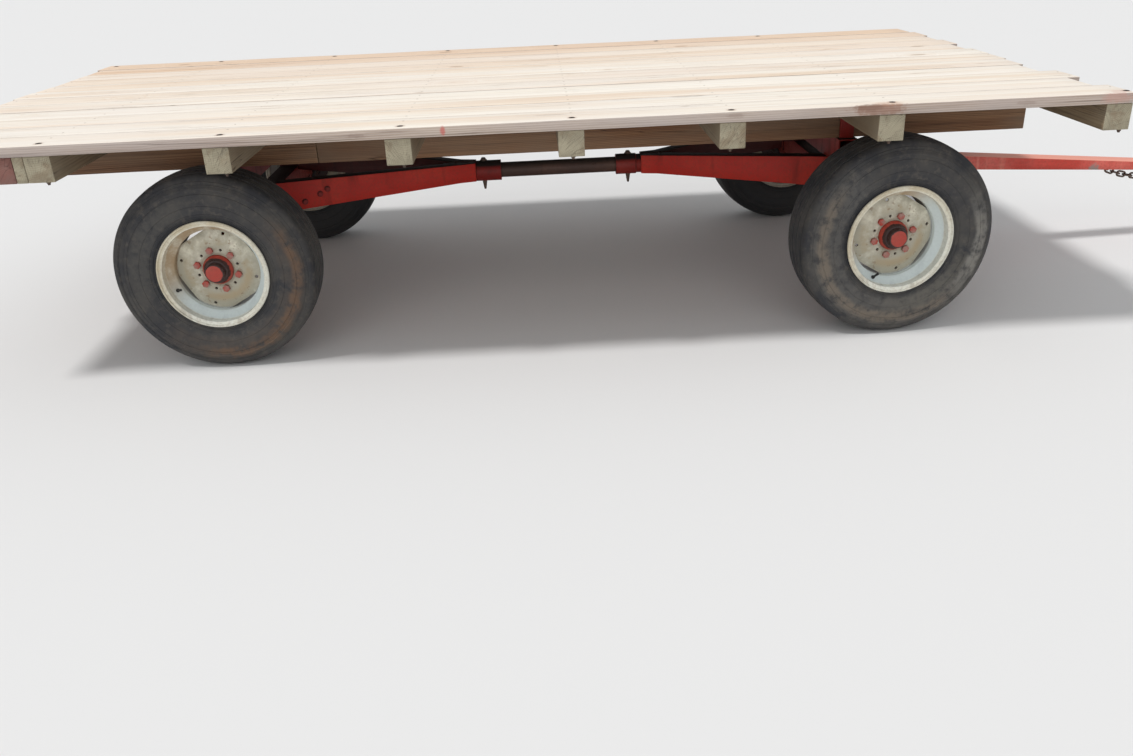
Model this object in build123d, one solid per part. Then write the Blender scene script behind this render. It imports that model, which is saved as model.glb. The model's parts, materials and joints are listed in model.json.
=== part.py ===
from build123d import *
import math
import os

# Four-wheel flat-bed hay wagon: a plank deck on timber sills and stringers, over a steel
# running gear with knuckle steering, parked with its front wheels turned a little left.
# Millimetres. +X points to the tongue, +Y to the wagon's left, +Z up, z = 0 is the ground.
# Lengths along X are counted from the rear axle; every piece is moved by originShift at the
# end, so that the origin lies under the middle of the whole wagon.

# Deck and timbers
plankCount = 12
plankWidth = 183
plankGap = 2.5
plankThickness = 38
deckTop = 905
deckLength = 4267
rearOverhang = 1040
sillWidth = 89
sillHeight = 89
sillInset = 8
stringerWidth = 89
stringerHeight = 102
stringerOuter = 520
stringerRear = -1010
stringerJoint = 352
stringerFront = 3152
jointGap = 1
spacerThickness = 38

# Running gear
wheelbase = 2520
wheelRadius = 372
rimFaceOffset = 941
steerAngle = 5
kingpinOffset = 611
kingpinDiameter = 32
pinClearance = 0.05
earClearance = 1
axleWidth = 90
axleWall = 8
axleCentreZ = 430
bolsterHalfLength = 560
bolsterWidth = 76
bolsterHeight = 100
bolsterWall = 6
frontBolsterSetback = 80
stakeWidth = 55
stakeThickness = 12
stakeHeight = 100
stakeClearance = 1
postOuter = 500
postInner = 410
reachDiameter = 66
reachWall = 8
reachZ = 498
poleOverhang = 60
sleeveClearance = 1
sleeveWall = 7
rearSleeveRear = 790
rearSleeveFront = 1047
frontSleeveRear = 1563
frontSleeveFront = 1820
rearPinInset = 77
frontPinInset = 55
collarLap = 32
collarWall = 4
reachPinDiameter = 20
reachPinFlangeDiameter = 32
reachPinFlangeHeight = 4
reachPinKnobDiameter = 22
reachPinKnobHeight = 10
reachPinKnobBevel = 4
reachPinLength = 128
reachPinTaper = 34
reachPinPoint = 9
legWidth = 64
legHeightInner = 80
legHeightOuter = 130
legDropInner = 38
legDropOuter = 40
legOverlap = 60
noseLength = 85
noseThickness = 3

# Wheels: the disc is set into the rim, discInset from its outer lip
tyreHalfWidth = 118
tyreCrownHalf = 76
tyreShoulderHalf = 99
tyreShoulderRadius = 352
tyreBulgeRadius = 285
tyreWall = 14
treadWall = 20
crownDrop = 4
shoulderDrop = 5
shoulderInset = 10
beadRadius = 190
beadHalf = 101
beadWidth = 22
beadLap = 4
beadClearance = 0.3
rimOverallHalf = 114.5
rimFlangeRadius = 205
flangeHeight = 7
flangeFoot = 5
flangeLip = 2
rimWellRadius = 163
rimWellRear = -62
rimWellFront = 50
rimRamp = 26
rimWall = 5
discInset = 76
discThickness = 8
discDish = 14
discFlatRadius = 104
discFlatOffset = 146
discWeld = 1
lobeCount = 4
lobeHoleCircle = 139
lobeHoleDiameter = 12
hubHoleRadius = 57
lugCircleRadius = 76.2
lugCount = 6
lugHoleDiameter = 17
spareHoleDiameter = 11
studDiameter = 16
nutAcross = 24
nutHeight = 12
hubFlangeRadius = 92
hubFlangeThickness = 12
hubBarrelRadius = 50
hubPilotRadius = 56
hubPilotLength = 6
hubNoseRadius = 42
hubNoseLength = 30
hubInnerLength = 110
capRadius = 36
capLength = 26
capRound = 8
spindleDiameter = 45
spindleShoulderRadius = 32
hubGap = 2

# How far each wheel has rolled, degrees
rolledFrontRight = 13
rolledRearRight = -16
rolledFrontLeft = 40
rolledRearLeft = 25

# Steering
linkArm = 150
linkSide = 30
headPivotAhead = 120
headPinDiameter = 30
pinHeadHeight = 8
pinHeadLap = 6
bracketThickness = 16
bracketHalfWidth = 42
headWidth = 72
headWebWidth = 44
headWebLength = 32
headWebGap = 5
headBlockBottom = 414
weldOverlap = 1
earThickness = 22
earRadius = 38
yokeInset = 45
yokeThickness = 30
yokeWidth = 70
armThickness = 18
armDrop = 8
armWidth = 44
linkPinDiameter = 16
rodGap = 2
rodThickness = 24
rodEyeRadius = 20
rodDiameter = 22
openPivotClearance = 0.6
hingeAhead = 95
hingeZ = 460
hingePinDiameter = 25
hingeEyeRadius = 32

# Tongue
tongueLength = 1900
tongueSlope = 4.8
tongueWidth = 100
tongueRearHeight = 72
tongueFrontHeight = 28
hitchMouthDepth = 160
tongueWall = 6
forkGap = 1
forkDepth = 60
hitchBore = 26
hitchPlateThickness = 12
hitchPlateWidth = 76
hitchPlateLap = 100

deckWidth = plankCount * plankWidth + (plankCount - 1) * plankGap
deckUnder = deckTop - plankThickness
sillUnder = deckUnder - sillHeight
stringerUnder = sillUnder - stringerHeight
deckRear = -rearOverhang
deckFront = deckLength - rearOverhang
sillHalfLength = deckWidth / 2 - sillInset
axleTop = axleCentreZ + axleWidth / 2
axleUnder = axleCentreZ - axleWidth / 2
wheelCentreY = rimFaceOffset - rimOverallHalf
discFace = rimOverallHalf - discInset
hubFace = discFace - discThickness
headPivotX = wheelbase + headPivotAhead
frontBolsterX = wheelbase - frontBolsterSetback
frontPostRear = frontBolsterX - bolsterWidth / 2
sleeveOuter = reachDiameter / 2 + sleeveClearance + sleeveWall
reachRear = rearSleeveRear - poleOverhang
reachFront = frontSleeveFront + poleOverhang
reachPinRear = rearSleeveFront - rearPinInset
reachPinFront = frontSleeveRear + frontPinInset
reachPinSeat = reachZ + sleeveOuter + collarWall
reachPinTip = reachPinSeat - reachPinLength
legBottomInner = reachZ - legDropInner
legBottomOuter = reachZ - legDropOuter
tongueBoxEnd = tongueLength - hitchMouthDepth
hitchPlateStart = tongueBoxEnd - hitchPlateLap
knuckleEarTop = axleTop + earClearance
knuckleEarLow = axleUnder - earClearance
armTop = knuckleEarLow - armDrop
rodBottom = armTop + rodGap
rodTop = rodBottom + rodThickness

# The hitch end of the tilted and turned tongue gives the wagon's front
heading = math.radians(steerAngle)
tilt = math.radians(tongueSlope)
hitchTop = tongueFrontHeight / 2 + hitchPlateThickness
hitchForward = hingeAhead + tongueLength * math.cos(tilt) + hitchTop * math.sin(tilt)
hitchRound = hitchPlateWidth / 2 * math.hypot(math.cos(heading) * math.cos(tilt), math.sin(heading))
wagonFront = headPivotX + hitchForward * math.cos(heading) + hitchRound
originShift = -(deckRear + wagonFront) / 2

# Sill name, middle along X
sills = [
    ("rear_end", deckRear + sillWidth / 2),
    ("rear_inner", -442),
    ("behind_middle", 149),
    ("middle_rear", 754),
    ("middle", 1333),
    ("middle_front", 1876),
    ("front_inner", 2413),
    ("front_end", deckFront - sillWidth / 2),
]

# How far each plank falls short of the deck's rear and front, near side (-Y) first
plankEnds = [
    (0, 0), (12, 50), (4, 0), (18, 62), (7, 40), (22, 27),
    (9, 20), (16, 45), (24, 10), (20, 35), (26, 15), (5, 40),
]


def box(x0, x1, y0, y1, z0, z1):
    return Pos((x0 + x1) / 2, (y0 + y1) / 2, (z0 + z1) / 2) * Box(x1 - x0, y1 - y0, z1 - z0)


def upright(x, y, z0, z1, radius):
    return Pos(x, y, (z0 + z1) / 2) * Cylinder(radius, z1 - z0)


def along_y(x, z, y0, y1, radius):
    return Pos(x, (y0 + y1) / 2, z) * Rot(90, 0, 0) * Cylinder(radius, abs(y1 - y0))


def along_x(x0, x1, y, z, radius):
    return Pos((x0 + x1) / 2, y, z) * Rot(0, 90, 0) * Cylinder(radius, x1 - x0)


def other_side(shape):
    return mirror(shape, Plane.XZ)


def on_side(shape, side):
    return shape if side > 0 else other_side(shape)


def turned(x, y, angle, shape):
    return Pos(x, y, 0) * Rot(0, 0, angle) * Pos(-x, -y, 0) * shape


def deck_planks():
    planks = []
    for i in range(plankCount):
        y = -deckWidth / 2 + i * (plankWidth + plankGap)
        rearShort, frontShort = plankEnds[i % len(plankEnds)]
        planks.append(box(deckRear + rearShort, deckFront - frontShort, y, y + plankWidth,
                          deckUnder, deckTop))
    return planks


def cross_timber(rear, front):
    return box(rear, front, -sillHalfLength, sillHalfLength, sillUnder, deckUnder)


def cross_sills():
    return [cross_timber(x - sillWidth / 2, x + sillWidth / 2) for name, x in sills]


def stringer(side, rear, front):
    inner = stringerOuter - stringerWidth
    return on_side(box(rear, front, inner, stringerOuter, stringerUnder, sillUnder), side)


def axle_beam(x, reach):
    solid = box(x - axleWidth / 2, x + axleWidth / 2, -reach, reach, axleUnder, axleTop)
    hollow = axleWidth / 2 - axleWall
    return solid - box(x - hollow, x + hollow, -reach, reach,
                       axleCentreZ - hollow, axleCentreZ + hollow)


def bolster(x):
    half = bolsterWidth / 2
    bottom = stringerUnder - bolsterHeight
    beam = box(x - half, x + half, -bolsterHalfLength, bolsterHalfLength, bottom, stringerUnder)
    inside = half - bolsterWall
    return beam - box(x - inside, x + inside, -bolsterHalfLength, bolsterHalfLength,
                      bottom + bolsterWall, stringerUnder - bolsterWall)


def stakes(x):
    inner = stringerOuter + stakeClearance
    stake = box(x - stakeWidth / 2, x + stakeWidth / 2, inner, inner + stakeThickness,
                stringerUnder, stringerUnder + stakeHeight)
    return [stake, other_side(stake)]


def posts(rear, front):
    post = box(rear, front, postInner, postOuter, axleTop, stringerUnder - bolsterHeight)
    return [post, other_side(post)]


# A leg runs from beside the reach sleeve out to a post, is deeper there, and ends on the
# face of the post and axle; its nose tapers along the sleeve towards the reach pin
def hound_leg(side, innerX, postX, faceX):
    innerY = sleeveOuter - sleeveWall
    outerY = (postInner + postOuter) / 2
    length = math.hypot(postX - innerX, outerY - innerY)
    lean = math.atan2(outerY - innerY, postX - innerX)
    outline = Polygon(
        (0, legBottomInner), (length, legBottomOuter),
        (length, legBottomOuter + legHeightOuter), (0, legBottomInner + legHeightInner),
        align=None)
    leg = extrude(Plane.XZ * outline, legWidth / 2, both=True)
    leg = Pos(innerX, innerY, 0) * Rot(0, 0, math.degrees(lean)) * leg
    towards = math.copysign(1, innerX - postX)
    noseX = innerX + towards * noseLength
    cornerX = innerX + towards * math.sin(lean) * legWidth / 2
    cornerY = innerY + abs(math.cos(lean)) * legWidth / 2
    plan = Polygon(
        (noseX, innerY / 2), (noseX, sleeveOuter + noseThickness), (cornerX, cornerY),
        (innerX - towards * legWidth / 2, cornerY), (innerX, innerY / 2), align=None)
    leg += Pos(0, 0, legBottomInner) * extrude(plan, legHeightInner, dir=(0, 0, 1))
    beyond = postX + math.copysign(legWidth, postX - faceX)
    leg -= box(min(faceX, beyond), max(faceX, beyond), -legWidth, wheelCentreY,
               reachZ - legHeightOuter, reachZ + legHeightOuter)
    leg -= along_x(reachRear, reachFront, 0, reachZ, sleeveOuter)
    return on_side(leg, side)


# A sleeve has a thicker collar round the reach pin, at the mouth where the pole goes in
def reach_sleeve(rear, front, mouth, pinX):
    collarEnd = pinX + math.copysign(collarLap, pinX - mouth)
    sleeve = along_x(rear, front, 0, reachZ, sleeveOuter)
    sleeve += along_x(min(mouth, collarEnd), max(mouth, collarEnd), 0, reachZ,
                      sleeveOuter + collarWall)
    sleeve -= along_x(rear, front, 0, reachZ, reachDiameter / 2 + sleeveClearance)
    return sleeve - pin_hole(pinX)


def pin_hole(x):
    return upright(x, 0, reachPinTip, reachPinSeat, reachPinDiameter / 2 + pinClearance)


def reach_pole():
    pole = along_x(reachRear, reachFront, 0, reachZ, reachDiameter / 2)
    pole -= along_x(reachRear, reachFront, 0, reachZ, reachDiameter / 2 - reachWall)
    return pole - pin_hole(reachPinRear) - pin_hole(reachPinFront)


# A bevelled knob over a flange, a straight shank and a tapered point
def reach_pin(x):
    shank = reachPinDiameter / 2
    flange = reachPinFlangeDiameter / 2
    knob = reachPinKnobDiameter / 2
    flangeTop = reachPinSeat + reachPinFlangeHeight
    knobTop = flangeTop + reachPinKnobHeight
    section = Plane.XZ * Polygon(
        (0, reachPinTip), (reachPinPoint / 2, reachPinTip),
        (shank, reachPinTip + reachPinTaper), (shank, reachPinSeat), (flange, reachPinSeat),
        (flange, flangeTop), (knob, flangeTop), (knob, knobTop - reachPinKnobBevel),
        (knob - reachPinKnobBevel, knobTop), (0, knobTop), align=None)
    return Pos(x, 0, 0) * revolve(section, Axis.Z)


# Wheel pieces turn about Y, with the outside towards +Y and y = 0 at the tyre's middle
def tyre():
    flangeTop = rimFlangeRadius + beadLap
    crownEdge = wheelRadius - crownDrop
    shoulderEdge = crownEdge - shoulderDrop
    shoulderHalf = tyreShoulderHalf - shoulderInset
    innerBulge = tyreHalfWidth - tyreWall
    innerCrown = wheelRadius - treadWall
    with BuildSketch(Plane.XY) as section:
        with BuildLine():
            Line((beadRadius, beadHalf), (flangeTop, beadHalf))
            ThreePointArc((flangeTop, beadHalf), (tyreBulgeRadius, tyreHalfWidth),
                          (tyreShoulderRadius, tyreShoulderHalf))
            ThreePointArc((tyreShoulderRadius, tyreShoulderHalf),
                          (shoulderEdge, shoulderHalf), (crownEdge, tyreCrownHalf))
            ThreePointArc((crownEdge, tyreCrownHalf), (wheelRadius, 0),
                          (crownEdge, -tyreCrownHalf))
            ThreePointArc((crownEdge, -tyreCrownHalf), (shoulderEdge, -shoulderHalf),
                          (tyreShoulderRadius, -tyreShoulderHalf))
            ThreePointArc((tyreShoulderRadius, -tyreShoulderHalf),
                          (tyreBulgeRadius, -tyreHalfWidth), (flangeTop, -beadHalf))
            Line((flangeTop, -beadHalf), (beadRadius, -beadHalf))
            Line((beadRadius, -beadHalf), (beadRadius, beadWidth - beadHalf))
            ThreePointArc((beadRadius, beadWidth - beadHalf), (tyreBulgeRadius, -innerBulge),
                          (innerCrown, -tyreCrownHalf))
            Line((innerCrown, -tyreCrownHalf), (innerCrown, tyreCrownHalf))
            ThreePointArc((innerCrown, tyreCrownHalf), (tyreBulgeRadius, innerBulge),
                          (beadRadius, beadHalf - beadWidth))
            Line((beadRadius, beadHalf - beadWidth), (beadRadius, beadHalf))
        make_face()
    return revolve(section.sketch, Axis.Y)


def rim():
    seat = beadRadius - beadClearance
    inside = beadHalf + beadClearance
    under = seat - rimWall
    root = rimFlangeRadius - flangeHeight
    foot = inside + flangeFoot
    lip = rimOverallHalf
    edge = rimFlangeRadius - flangeLip
    throat = inside + flangeHeight
    with BuildSketch(Plane.XY) as section:
        with BuildLine():
            Line((seat, inside), (root, inside))
            ThreePointArc((root, inside), (edge, inside + flangeLip), (rimFlangeRadius, foot))
            ThreePointArc((rimFlangeRadius, foot), (edge, lip - flangeLip), (root, lip))
            Polyline(
                (root, lip), (root - flangeLip, throat), (under, inside + rimWall),
                (under, rimWellFront + rimRamp), (rimWellRadius - rimWall, rimWellFront),
                (rimWellRadius - rimWall, rimWellRear), (under, rimWellRear - rimRamp),
                (under, -inside - rimWall), (root - flangeLip, -throat), (root, -lip))
            ThreePointArc((root, -lip), (edge, flangeLip - lip), (rimFlangeRadius, -foot))
            ThreePointArc((rimFlangeRadius, -foot), (edge, -inside - flangeLip),
                          (root, -inside))
            Polyline(
                (root, -inside), (seat, -inside), (seat, rimWellRear - rimRamp + rimWall),
                (rimWellRadius, rimWellRear + rimWall), (rimWellRadius, rimWellFront - rimWall),
                (seat, rimWellFront + rimRamp - rimWall), (seat, inside))
        make_face()
    return revolve(section.sketch, Axis.Y) + wheel_disc()


# The disc is dished towards its edge, and four flats leave gaps between it and the well
def wheel_disc():
    edge = rimWellRadius - rimWall + discWeld
    with BuildSketch(Plane.XY) as plate:
        Polygon(
            (hubHoleRadius, discFace), (discFlatRadius, discFace),
            (edge, discFace - discDish), (edge, hubFace - discDish),
            (discFlatRadius, hubFace), (hubHoleRadius, hubFace), align=None)
    disc = revolve(plate.sketch, Axis.Y)
    flat = discFlatOffset
    square = box(-flat, flat, hubFace - discDish, discFace, -flat, flat)
    disc &= Rot(0, 180 / lobeCount, 0) * square
    # Holes: count, share of a step that the first one is turned, circle, diameter
    for count, start, circle, diameter in (
            (lugCount, 0, lugCircleRadius, lugHoleDiameter),
            (lugCount, 0.5, lugCircleRadius, spareHoleDiameter),
            (lobeCount, 0, lobeHoleCircle, lobeHoleDiameter)):
        for i in range(count):
            a = 2 * math.pi * (i + start) / count
            disc -= along_y(circle * math.cos(a), circle * math.sin(a), hubFace - discDish,
                            discFace, diameter / 2)
    return disc


def hub():
    inner = hubFace - hubFlangeThickness - hubInnerLength
    pilotEnd = discFace + hubPilotLength
    noseEnd = discFace + hubNoseLength
    capEnd = noseEnd + capLength
    bore = spindleDiameter / 2 + pinClearance
    roundEdge = capRound * (1 - math.sqrt(0.5))
    with BuildSketch(Plane.XY) as section:
        with BuildLine():
            Polyline(
                (0, capEnd), (0, noseEnd), (bore, noseEnd), (bore, inner),
                (hubBarrelRadius, inner), (hubBarrelRadius, hubFace - hubFlangeThickness),
                (hubFlangeRadius, hubFace - hubFlangeThickness), (hubFlangeRadius, hubFace),
                (hubPilotRadius, hubFace), (hubPilotRadius, pilotEnd), (hubNoseRadius, noseEnd),
                (capRadius, noseEnd), (capRadius, capEnd - capRound))
            ThreePointArc((capRadius, capEnd - capRound),
                          (capRadius - roundEdge, capEnd - roundEdge),
                          (capRadius - capRound, capEnd))
            Line((capRadius - capRound, capEnd), (0, capEnd))
        make_face()
    shape = revolve(section.sketch, Axis.Y)
    for i in range(lugCount):
        a = 2 * math.pi * i / lugCount
        x, z = lugCircleRadius * math.cos(a), lugCircleRadius * math.sin(a)
        shape += along_y(x, z, hubFace - weldOverlap, discFace + nutHeight, studDiameter / 2)
        nut = extrude(RegularPolygon(nutAcross / 2, 6, major_radius=False), nutHeight)
        shape += Pos(x, discFace + nutHeight, z) * Rot(90, 0, 0) * nut
    return shape


def at_corner(shape, x, side, turn, rolled):
    local = Rot(0, rolled, 0) * shape
    if side < 0:
        local = Rot(0, 0, 180) * local
    return (Pos(x, side * kingpinOffset, wheelRadius) * Rot(0, 0, turn)
            * Pos(0, side * (wheelCentreY - kingpinOffset), 0) * local)


def spindle(x):
    plate = kingpinOffset + yokeInset + yokeThickness - weldOverlap
    hubEnd = wheelCentreY + hubFace - hubFlangeThickness - hubInnerLength
    tip = wheelCentreY + discFace + hubNoseLength - hubGap
    return (along_y(x, wheelRadius, plate, tip, spindleDiameter / 2)
            + along_y(x, wheelRadius, plate, hubEnd - hubGap, spindleShoulderRadius))


def spindle_plate(x, z0, z1):
    inner = kingpinOffset + yokeInset
    return box(x - yokeWidth / 2, x + yokeWidth / 2, inner, inner + yokeThickness, z0, z1)


# Knuckles are drawn straight ahead on the left, then mirrored and turned
def knuckle(side):
    x, y = wheelbase, kingpinOffset
    low = knuckleEarLow - earThickness
    high = knuckleEarTop + earThickness
    shape = spindle_plate(x, wheelRadius - spindleShoulderRadius, high) + spindle(x)
    for z0, z1 in ((knuckleEarTop, high), (low, knuckleEarLow)):
        shape += upright(x, y, z0, z1, earRadius)
        shape += box(x - earRadius, x + earRadius, y, y + yokeInset + weldOverlap, z0, z1)
    pinX, pinY = x + linkArm, y + linkSide
    half = armWidth / 2
    shape += box(x, pinX, pinY - half, pinY + half, armTop - armThickness, armTop)
    shape += upright(pinX, pinY, armTop - armThickness, armTop, half)
    shape += upright(pinX, pinY, armTop, rodTop + rodGap, linkPinDiameter / 2)
    shape -= upright(x, y, low, high, kingpinDiameter / 2 + pinClearance)
    return turned(x, side * y, steerAngle, on_side(shape, side))


def kingpin(side):
    low = knuckleEarLow - earThickness
    high = knuckleEarTop + earThickness
    head = upright(wheelbase, side * kingpinOffset, high, high + pinHeadHeight,
                   kingpinDiameter / 2 + pinHeadLap)
    return upright(wheelbase, side * kingpinOffset, low, high, kingpinDiameter / 2) + head


def front_axle():
    beam = axle_beam(wheelbase, kingpinOffset)
    for side in (1, -1):
        beam += upright(wheelbase, side * kingpinOffset, axleUnder, axleTop, earRadius)
    for side in (1, -1):
        beam -= upright(wheelbase, side * kingpinOffset, axleUnder, axleTop, kingpinDiameter / 2)
    front = wheelbase + axleWidth / 2
    for z0 in (axleUnder, axleTop - bracketThickness):
        z1 = z0 + bracketThickness
        plate = box(front - weldOverlap, headPivotX, -bracketHalfWidth, bracketHalfWidth, z0, z1)
        plate += upright(headPivotX, 0, z0, z1, bracketHalfWidth)
        beam += plate - upright(headPivotX, 0, z0, z1, headPinDiameter / 2)
    return beam


def rear_axle():
    plate = spindle_plate(0, wheelRadius - spindleShoulderRadius, axleTop) + spindle(0)
    return axle_beam(0, kingpinOffset + yokeInset + weldOverlap) + plate + other_side(plate)


def head_pin():
    return (upright(headPivotX, 0, axleUnder, axleTop, headPinDiameter / 2)
            + upright(headPivotX, 0, axleTop, axleTop + pinHeadHeight,
                      headPinDiameter / 2 + pinHeadLap))


# The head turns on its pin, carries the tongue's hinge and moves both tie rods
def drawbar_head():
    x = headPivotX
    z0 = axleUnder + bracketThickness + earClearance
    z1 = axleTop - bracketThickness - earClearance
    half = headWidth / 2
    shape = upright(x, 0, z0, z1, half)
    hingeX = x + hingeAhead
    shape += box(x, hingeX, -half, half, headBlockBottom, z1)
    shape += along_y(hingeX, hingeZ, -half, half, hingeEyeRadius)
    webRear = x + bracketHalfWidth + headWebGap
    web = headWebWidth / 2
    shape += box(webRear, webRear + headWebLength, -web, web, armTop - armThickness,
                 headBlockBottom + weldOverlap)
    pinX = x + linkArm
    plateHalf = linkSide + armWidth / 2
    shape += box(webRear, pinX, -plateHalf, plateHalf, armTop - armThickness, armTop)
    for side in (1, -1):
        shape += upright(pinX, side * linkSide, armTop - armThickness, armTop, armWidth / 2)
        shape += upright(pinX, side * linkSide, armTop, rodTop + rodGap, linkPinDiameter / 2)
    shape -= upright(x, 0, z0, z1, headPinDiameter / 2 + pinClearance)
    shape -= along_y(hingeX, hingeZ, -half, half, hingePinDiameter / 2)
    return turned(x, 0, steerAngle, shape)


def hinge_pin():
    half = tongueWidth / 2 + pinHeadLap
    pin = along_y(headPivotX + hingeAhead, hingeZ, -half, half, hingePinDiameter / 2)
    return turned(headPivotX, 0, steerAngle, pin)


def tie_rod(side):
    armX = linkArm * math.cos(heading) - side * linkSide * math.sin(heading)
    armY = linkArm * math.sin(heading) + side * linkSide * math.cos(heading)
    x0, y0 = headPivotX + armX, armY
    x1, y1 = wheelbase + armX, side * kingpinOffset + armY
    length = math.hypot(x1 - x0, y1 - y0)
    angle = math.degrees(math.atan2(y1 - y0, x1 - x0))
    middle = (rodBottom + rodTop) / 2
    rod = along_x(0, length, 0, middle, rodDiameter / 2)
    for x in (0, length):
        rod += upright(x, 0, rodBottom, rodTop, rodEyeRadius)
    rod -= upright(0, 0, rodBottom, rodTop, linkPinDiameter / 2 + pinClearance)
    rod -= upright(length, 0, rodBottom, rodTop, linkPinDiameter / 2 + openPivotClearance)
    return Pos(x0, y0, 0) * Rot(0, 0, angle) * rod


# The tongue is drawn level from its hinge at the origin, then tilted, placed and turned
def placed_tongue(shape):
    tilted = Pos(headPivotX + hingeAhead, 0, hingeZ) * Rot(0, tongueSlope, 0) * shape
    return turned(headPivotX, 0, steerAngle, tilted)


def tongue_bar():
    rear = tongueRearHeight / 2
    front = tongueFrontHeight / 2
    outline = Polygon((0, -rear), (hitchPlateStart, -front), (tongueBoxEnd, -front),
                      (tongueBoxEnd, front), (hitchPlateStart, front), (0, rear), align=None)
    half = tongueWidth / 2
    bar = extrude(Plane.XZ * outline, half, both=True)
    bar += along_y(0, 0, -half, half, rear)
    wall = tongueWall
    hollow = Polygon((forkDepth, -rear + wall * 2), (hitchPlateStart, -front + wall),
                     (hitchPlateStart, front - wall), (forkDepth, rear - wall * 2), align=None)
    bar -= extrude(Plane.XZ * hollow, half - wall, both=True)
    slot = headWidth / 2 + forkGap
    bar -= box(-rear, forkDepth, -slot, slot, -rear, rear)
    bar -= along_y(0, 0, -half, half, hingePinDiameter / 2 + pinClearance)
    return placed_tongue(bar)


def hitch_plates():
    plates = []
    half = hitchPlateWidth / 2
    for level in (tongueFrontHeight / 2, -tongueFrontHeight / 2 - hitchPlateThickness):
        z0, z1 = level, level + hitchPlateThickness
        plate = box(hitchPlateStart, tongueLength, -half, half, z0, z1)
        plate += upright(tongueLength, 0, z0, z1, half)
        plate -= upright(tongueLength, 0, z0, z1, hitchBore / 2)
        plates.append(placed_tongue(plate))
    return plates


pieces = {
    "deck_planks": deck_planks(),
    "cross_sills": cross_sills(),
    "sill_spacer": [cross_timber(sills[1][1] - sillWidth / 2 - spacerThickness,
                                 sills[1][1] - sillWidth / 2)],
    "stained_sill": [cross_timber(sills[1][1] - sillWidth * 1.5 - spacerThickness,
                                  sills[1][1] - sillWidth / 2 - spacerThickness)],
    "stringer_left": [stringer(1, stringerRear, stringerJoint),
                      stringer(1, stringerJoint + jointGap, stringerFront)],
    "stringer_right": [stringer(-1, stringerRear, stringerJoint),
                       stringer(-1, stringerJoint + jointGap, stringerFront)],
    "bolster_rear": [bolster(0)],
    "bolster_front": [bolster(frontBolsterX)],
    "bolster_stakes": stakes(0) + stakes(frontBolsterX),
    "bolster_posts_rear": posts(-axleWidth / 2, axleWidth / 2),
    "bolster_posts_front": posts(frontPostRear, wheelbase + axleWidth / 2),
    "axle_rear": [rear_axle()],
    "axle_front": [front_axle()],
    "reach_sleeve_rear": [reach_sleeve(rearSleeveRear, rearSleeveFront, rearSleeveFront,
                                       reachPinRear)],
    "reach_sleeve_front": [reach_sleeve(frontSleeveRear, frontSleeveFront, frontSleeveRear,
                                        reachPinFront)],
    "reach_pole": [reach_pole()],
    "reach_pin_rear": [reach_pin(reachPinRear)],
    "reach_pin_front": [reach_pin(reachPinFront)],
    "head_pin": [head_pin()],
    "drawbar_head": [drawbar_head()],
    "tongue_hinge_pin": [hinge_pin()],
    "tongue_bar": [tongue_bar()],
    "hitch_plates": hitch_plates(),
}
for sideName, side, rolledFront, rolledRear in (
        ("left", 1, rolledFrontLeft, rolledRearLeft),
        ("right", -1, rolledFrontRight, rolledRearRight)):
    pieces["kingpin_" + sideName] = [kingpin(side)]
    pieces["knuckle_" + sideName] = [knuckle(side)]
    pieces["tie_rod_" + sideName] = [tie_rod(side)]
    pieces["hound_rear_" + sideName] = [hound_leg(side, rearSleeveRear + legOverlap, 0,
                                                  axleWidth / 2)]
    pieces["hound_front_" + sideName] = [hound_leg(side, frontSleeveFront - legOverlap,
                                                   wheelbase, frontPostRear)]
    for end, x, turn, rolled in (
            ("front", wheelbase, steerAngle, rolledFront), ("rear", 0, 0, rolledRear)):
        corner = end + "_" + sideName
        pieces["tyre_" + corner] = [at_corner(tyre(), x, side, turn, rolled)]
        pieces["rim_" + corner] = [at_corner(rim(), x, side, turn, rolled)]
        pieces["hub_" + corner] = [at_corner(hub(), x, side, turn, rolled)]

os.makedirs("parts", exist_ok=True)
for name, solids in pieces.items():
    moved = [Pos(originShift, 0, 0) * s for s in solids]
    whole = moved[0] if len(moved) == 1 else Compound(children=moved)
    export_step(whole, "parts/" + name + ".step")
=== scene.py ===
import bpy
import json
import math
import random
from mathutils import Matrix, Vector


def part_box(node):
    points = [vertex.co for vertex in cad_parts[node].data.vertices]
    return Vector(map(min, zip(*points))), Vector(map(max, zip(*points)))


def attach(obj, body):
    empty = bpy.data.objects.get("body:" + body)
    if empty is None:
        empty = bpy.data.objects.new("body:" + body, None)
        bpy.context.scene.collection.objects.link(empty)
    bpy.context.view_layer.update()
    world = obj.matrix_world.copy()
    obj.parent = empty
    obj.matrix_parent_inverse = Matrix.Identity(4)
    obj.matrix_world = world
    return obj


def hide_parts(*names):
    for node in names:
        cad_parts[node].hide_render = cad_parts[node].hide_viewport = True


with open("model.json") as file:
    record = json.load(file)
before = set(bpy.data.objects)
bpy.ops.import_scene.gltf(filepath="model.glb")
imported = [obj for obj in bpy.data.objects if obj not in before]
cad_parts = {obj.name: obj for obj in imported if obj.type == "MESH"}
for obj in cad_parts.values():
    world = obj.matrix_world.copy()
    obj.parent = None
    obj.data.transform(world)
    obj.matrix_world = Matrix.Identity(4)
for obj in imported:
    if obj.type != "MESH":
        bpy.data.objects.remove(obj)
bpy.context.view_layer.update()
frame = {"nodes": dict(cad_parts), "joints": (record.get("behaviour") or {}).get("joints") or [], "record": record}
nodes = frame["nodes"]
joints = {joint["name"]: joint for joint in frame["joints"]}
bodyOf = {node: body for body, names in frame["record"]["behaviour"]["bodies"].items() for node in names}
slotOf = {part["node"]: part["material_slot"] for part in frame["record"]["subparts"]}
print("frame loaded:", len(nodes), "nodes")

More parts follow.
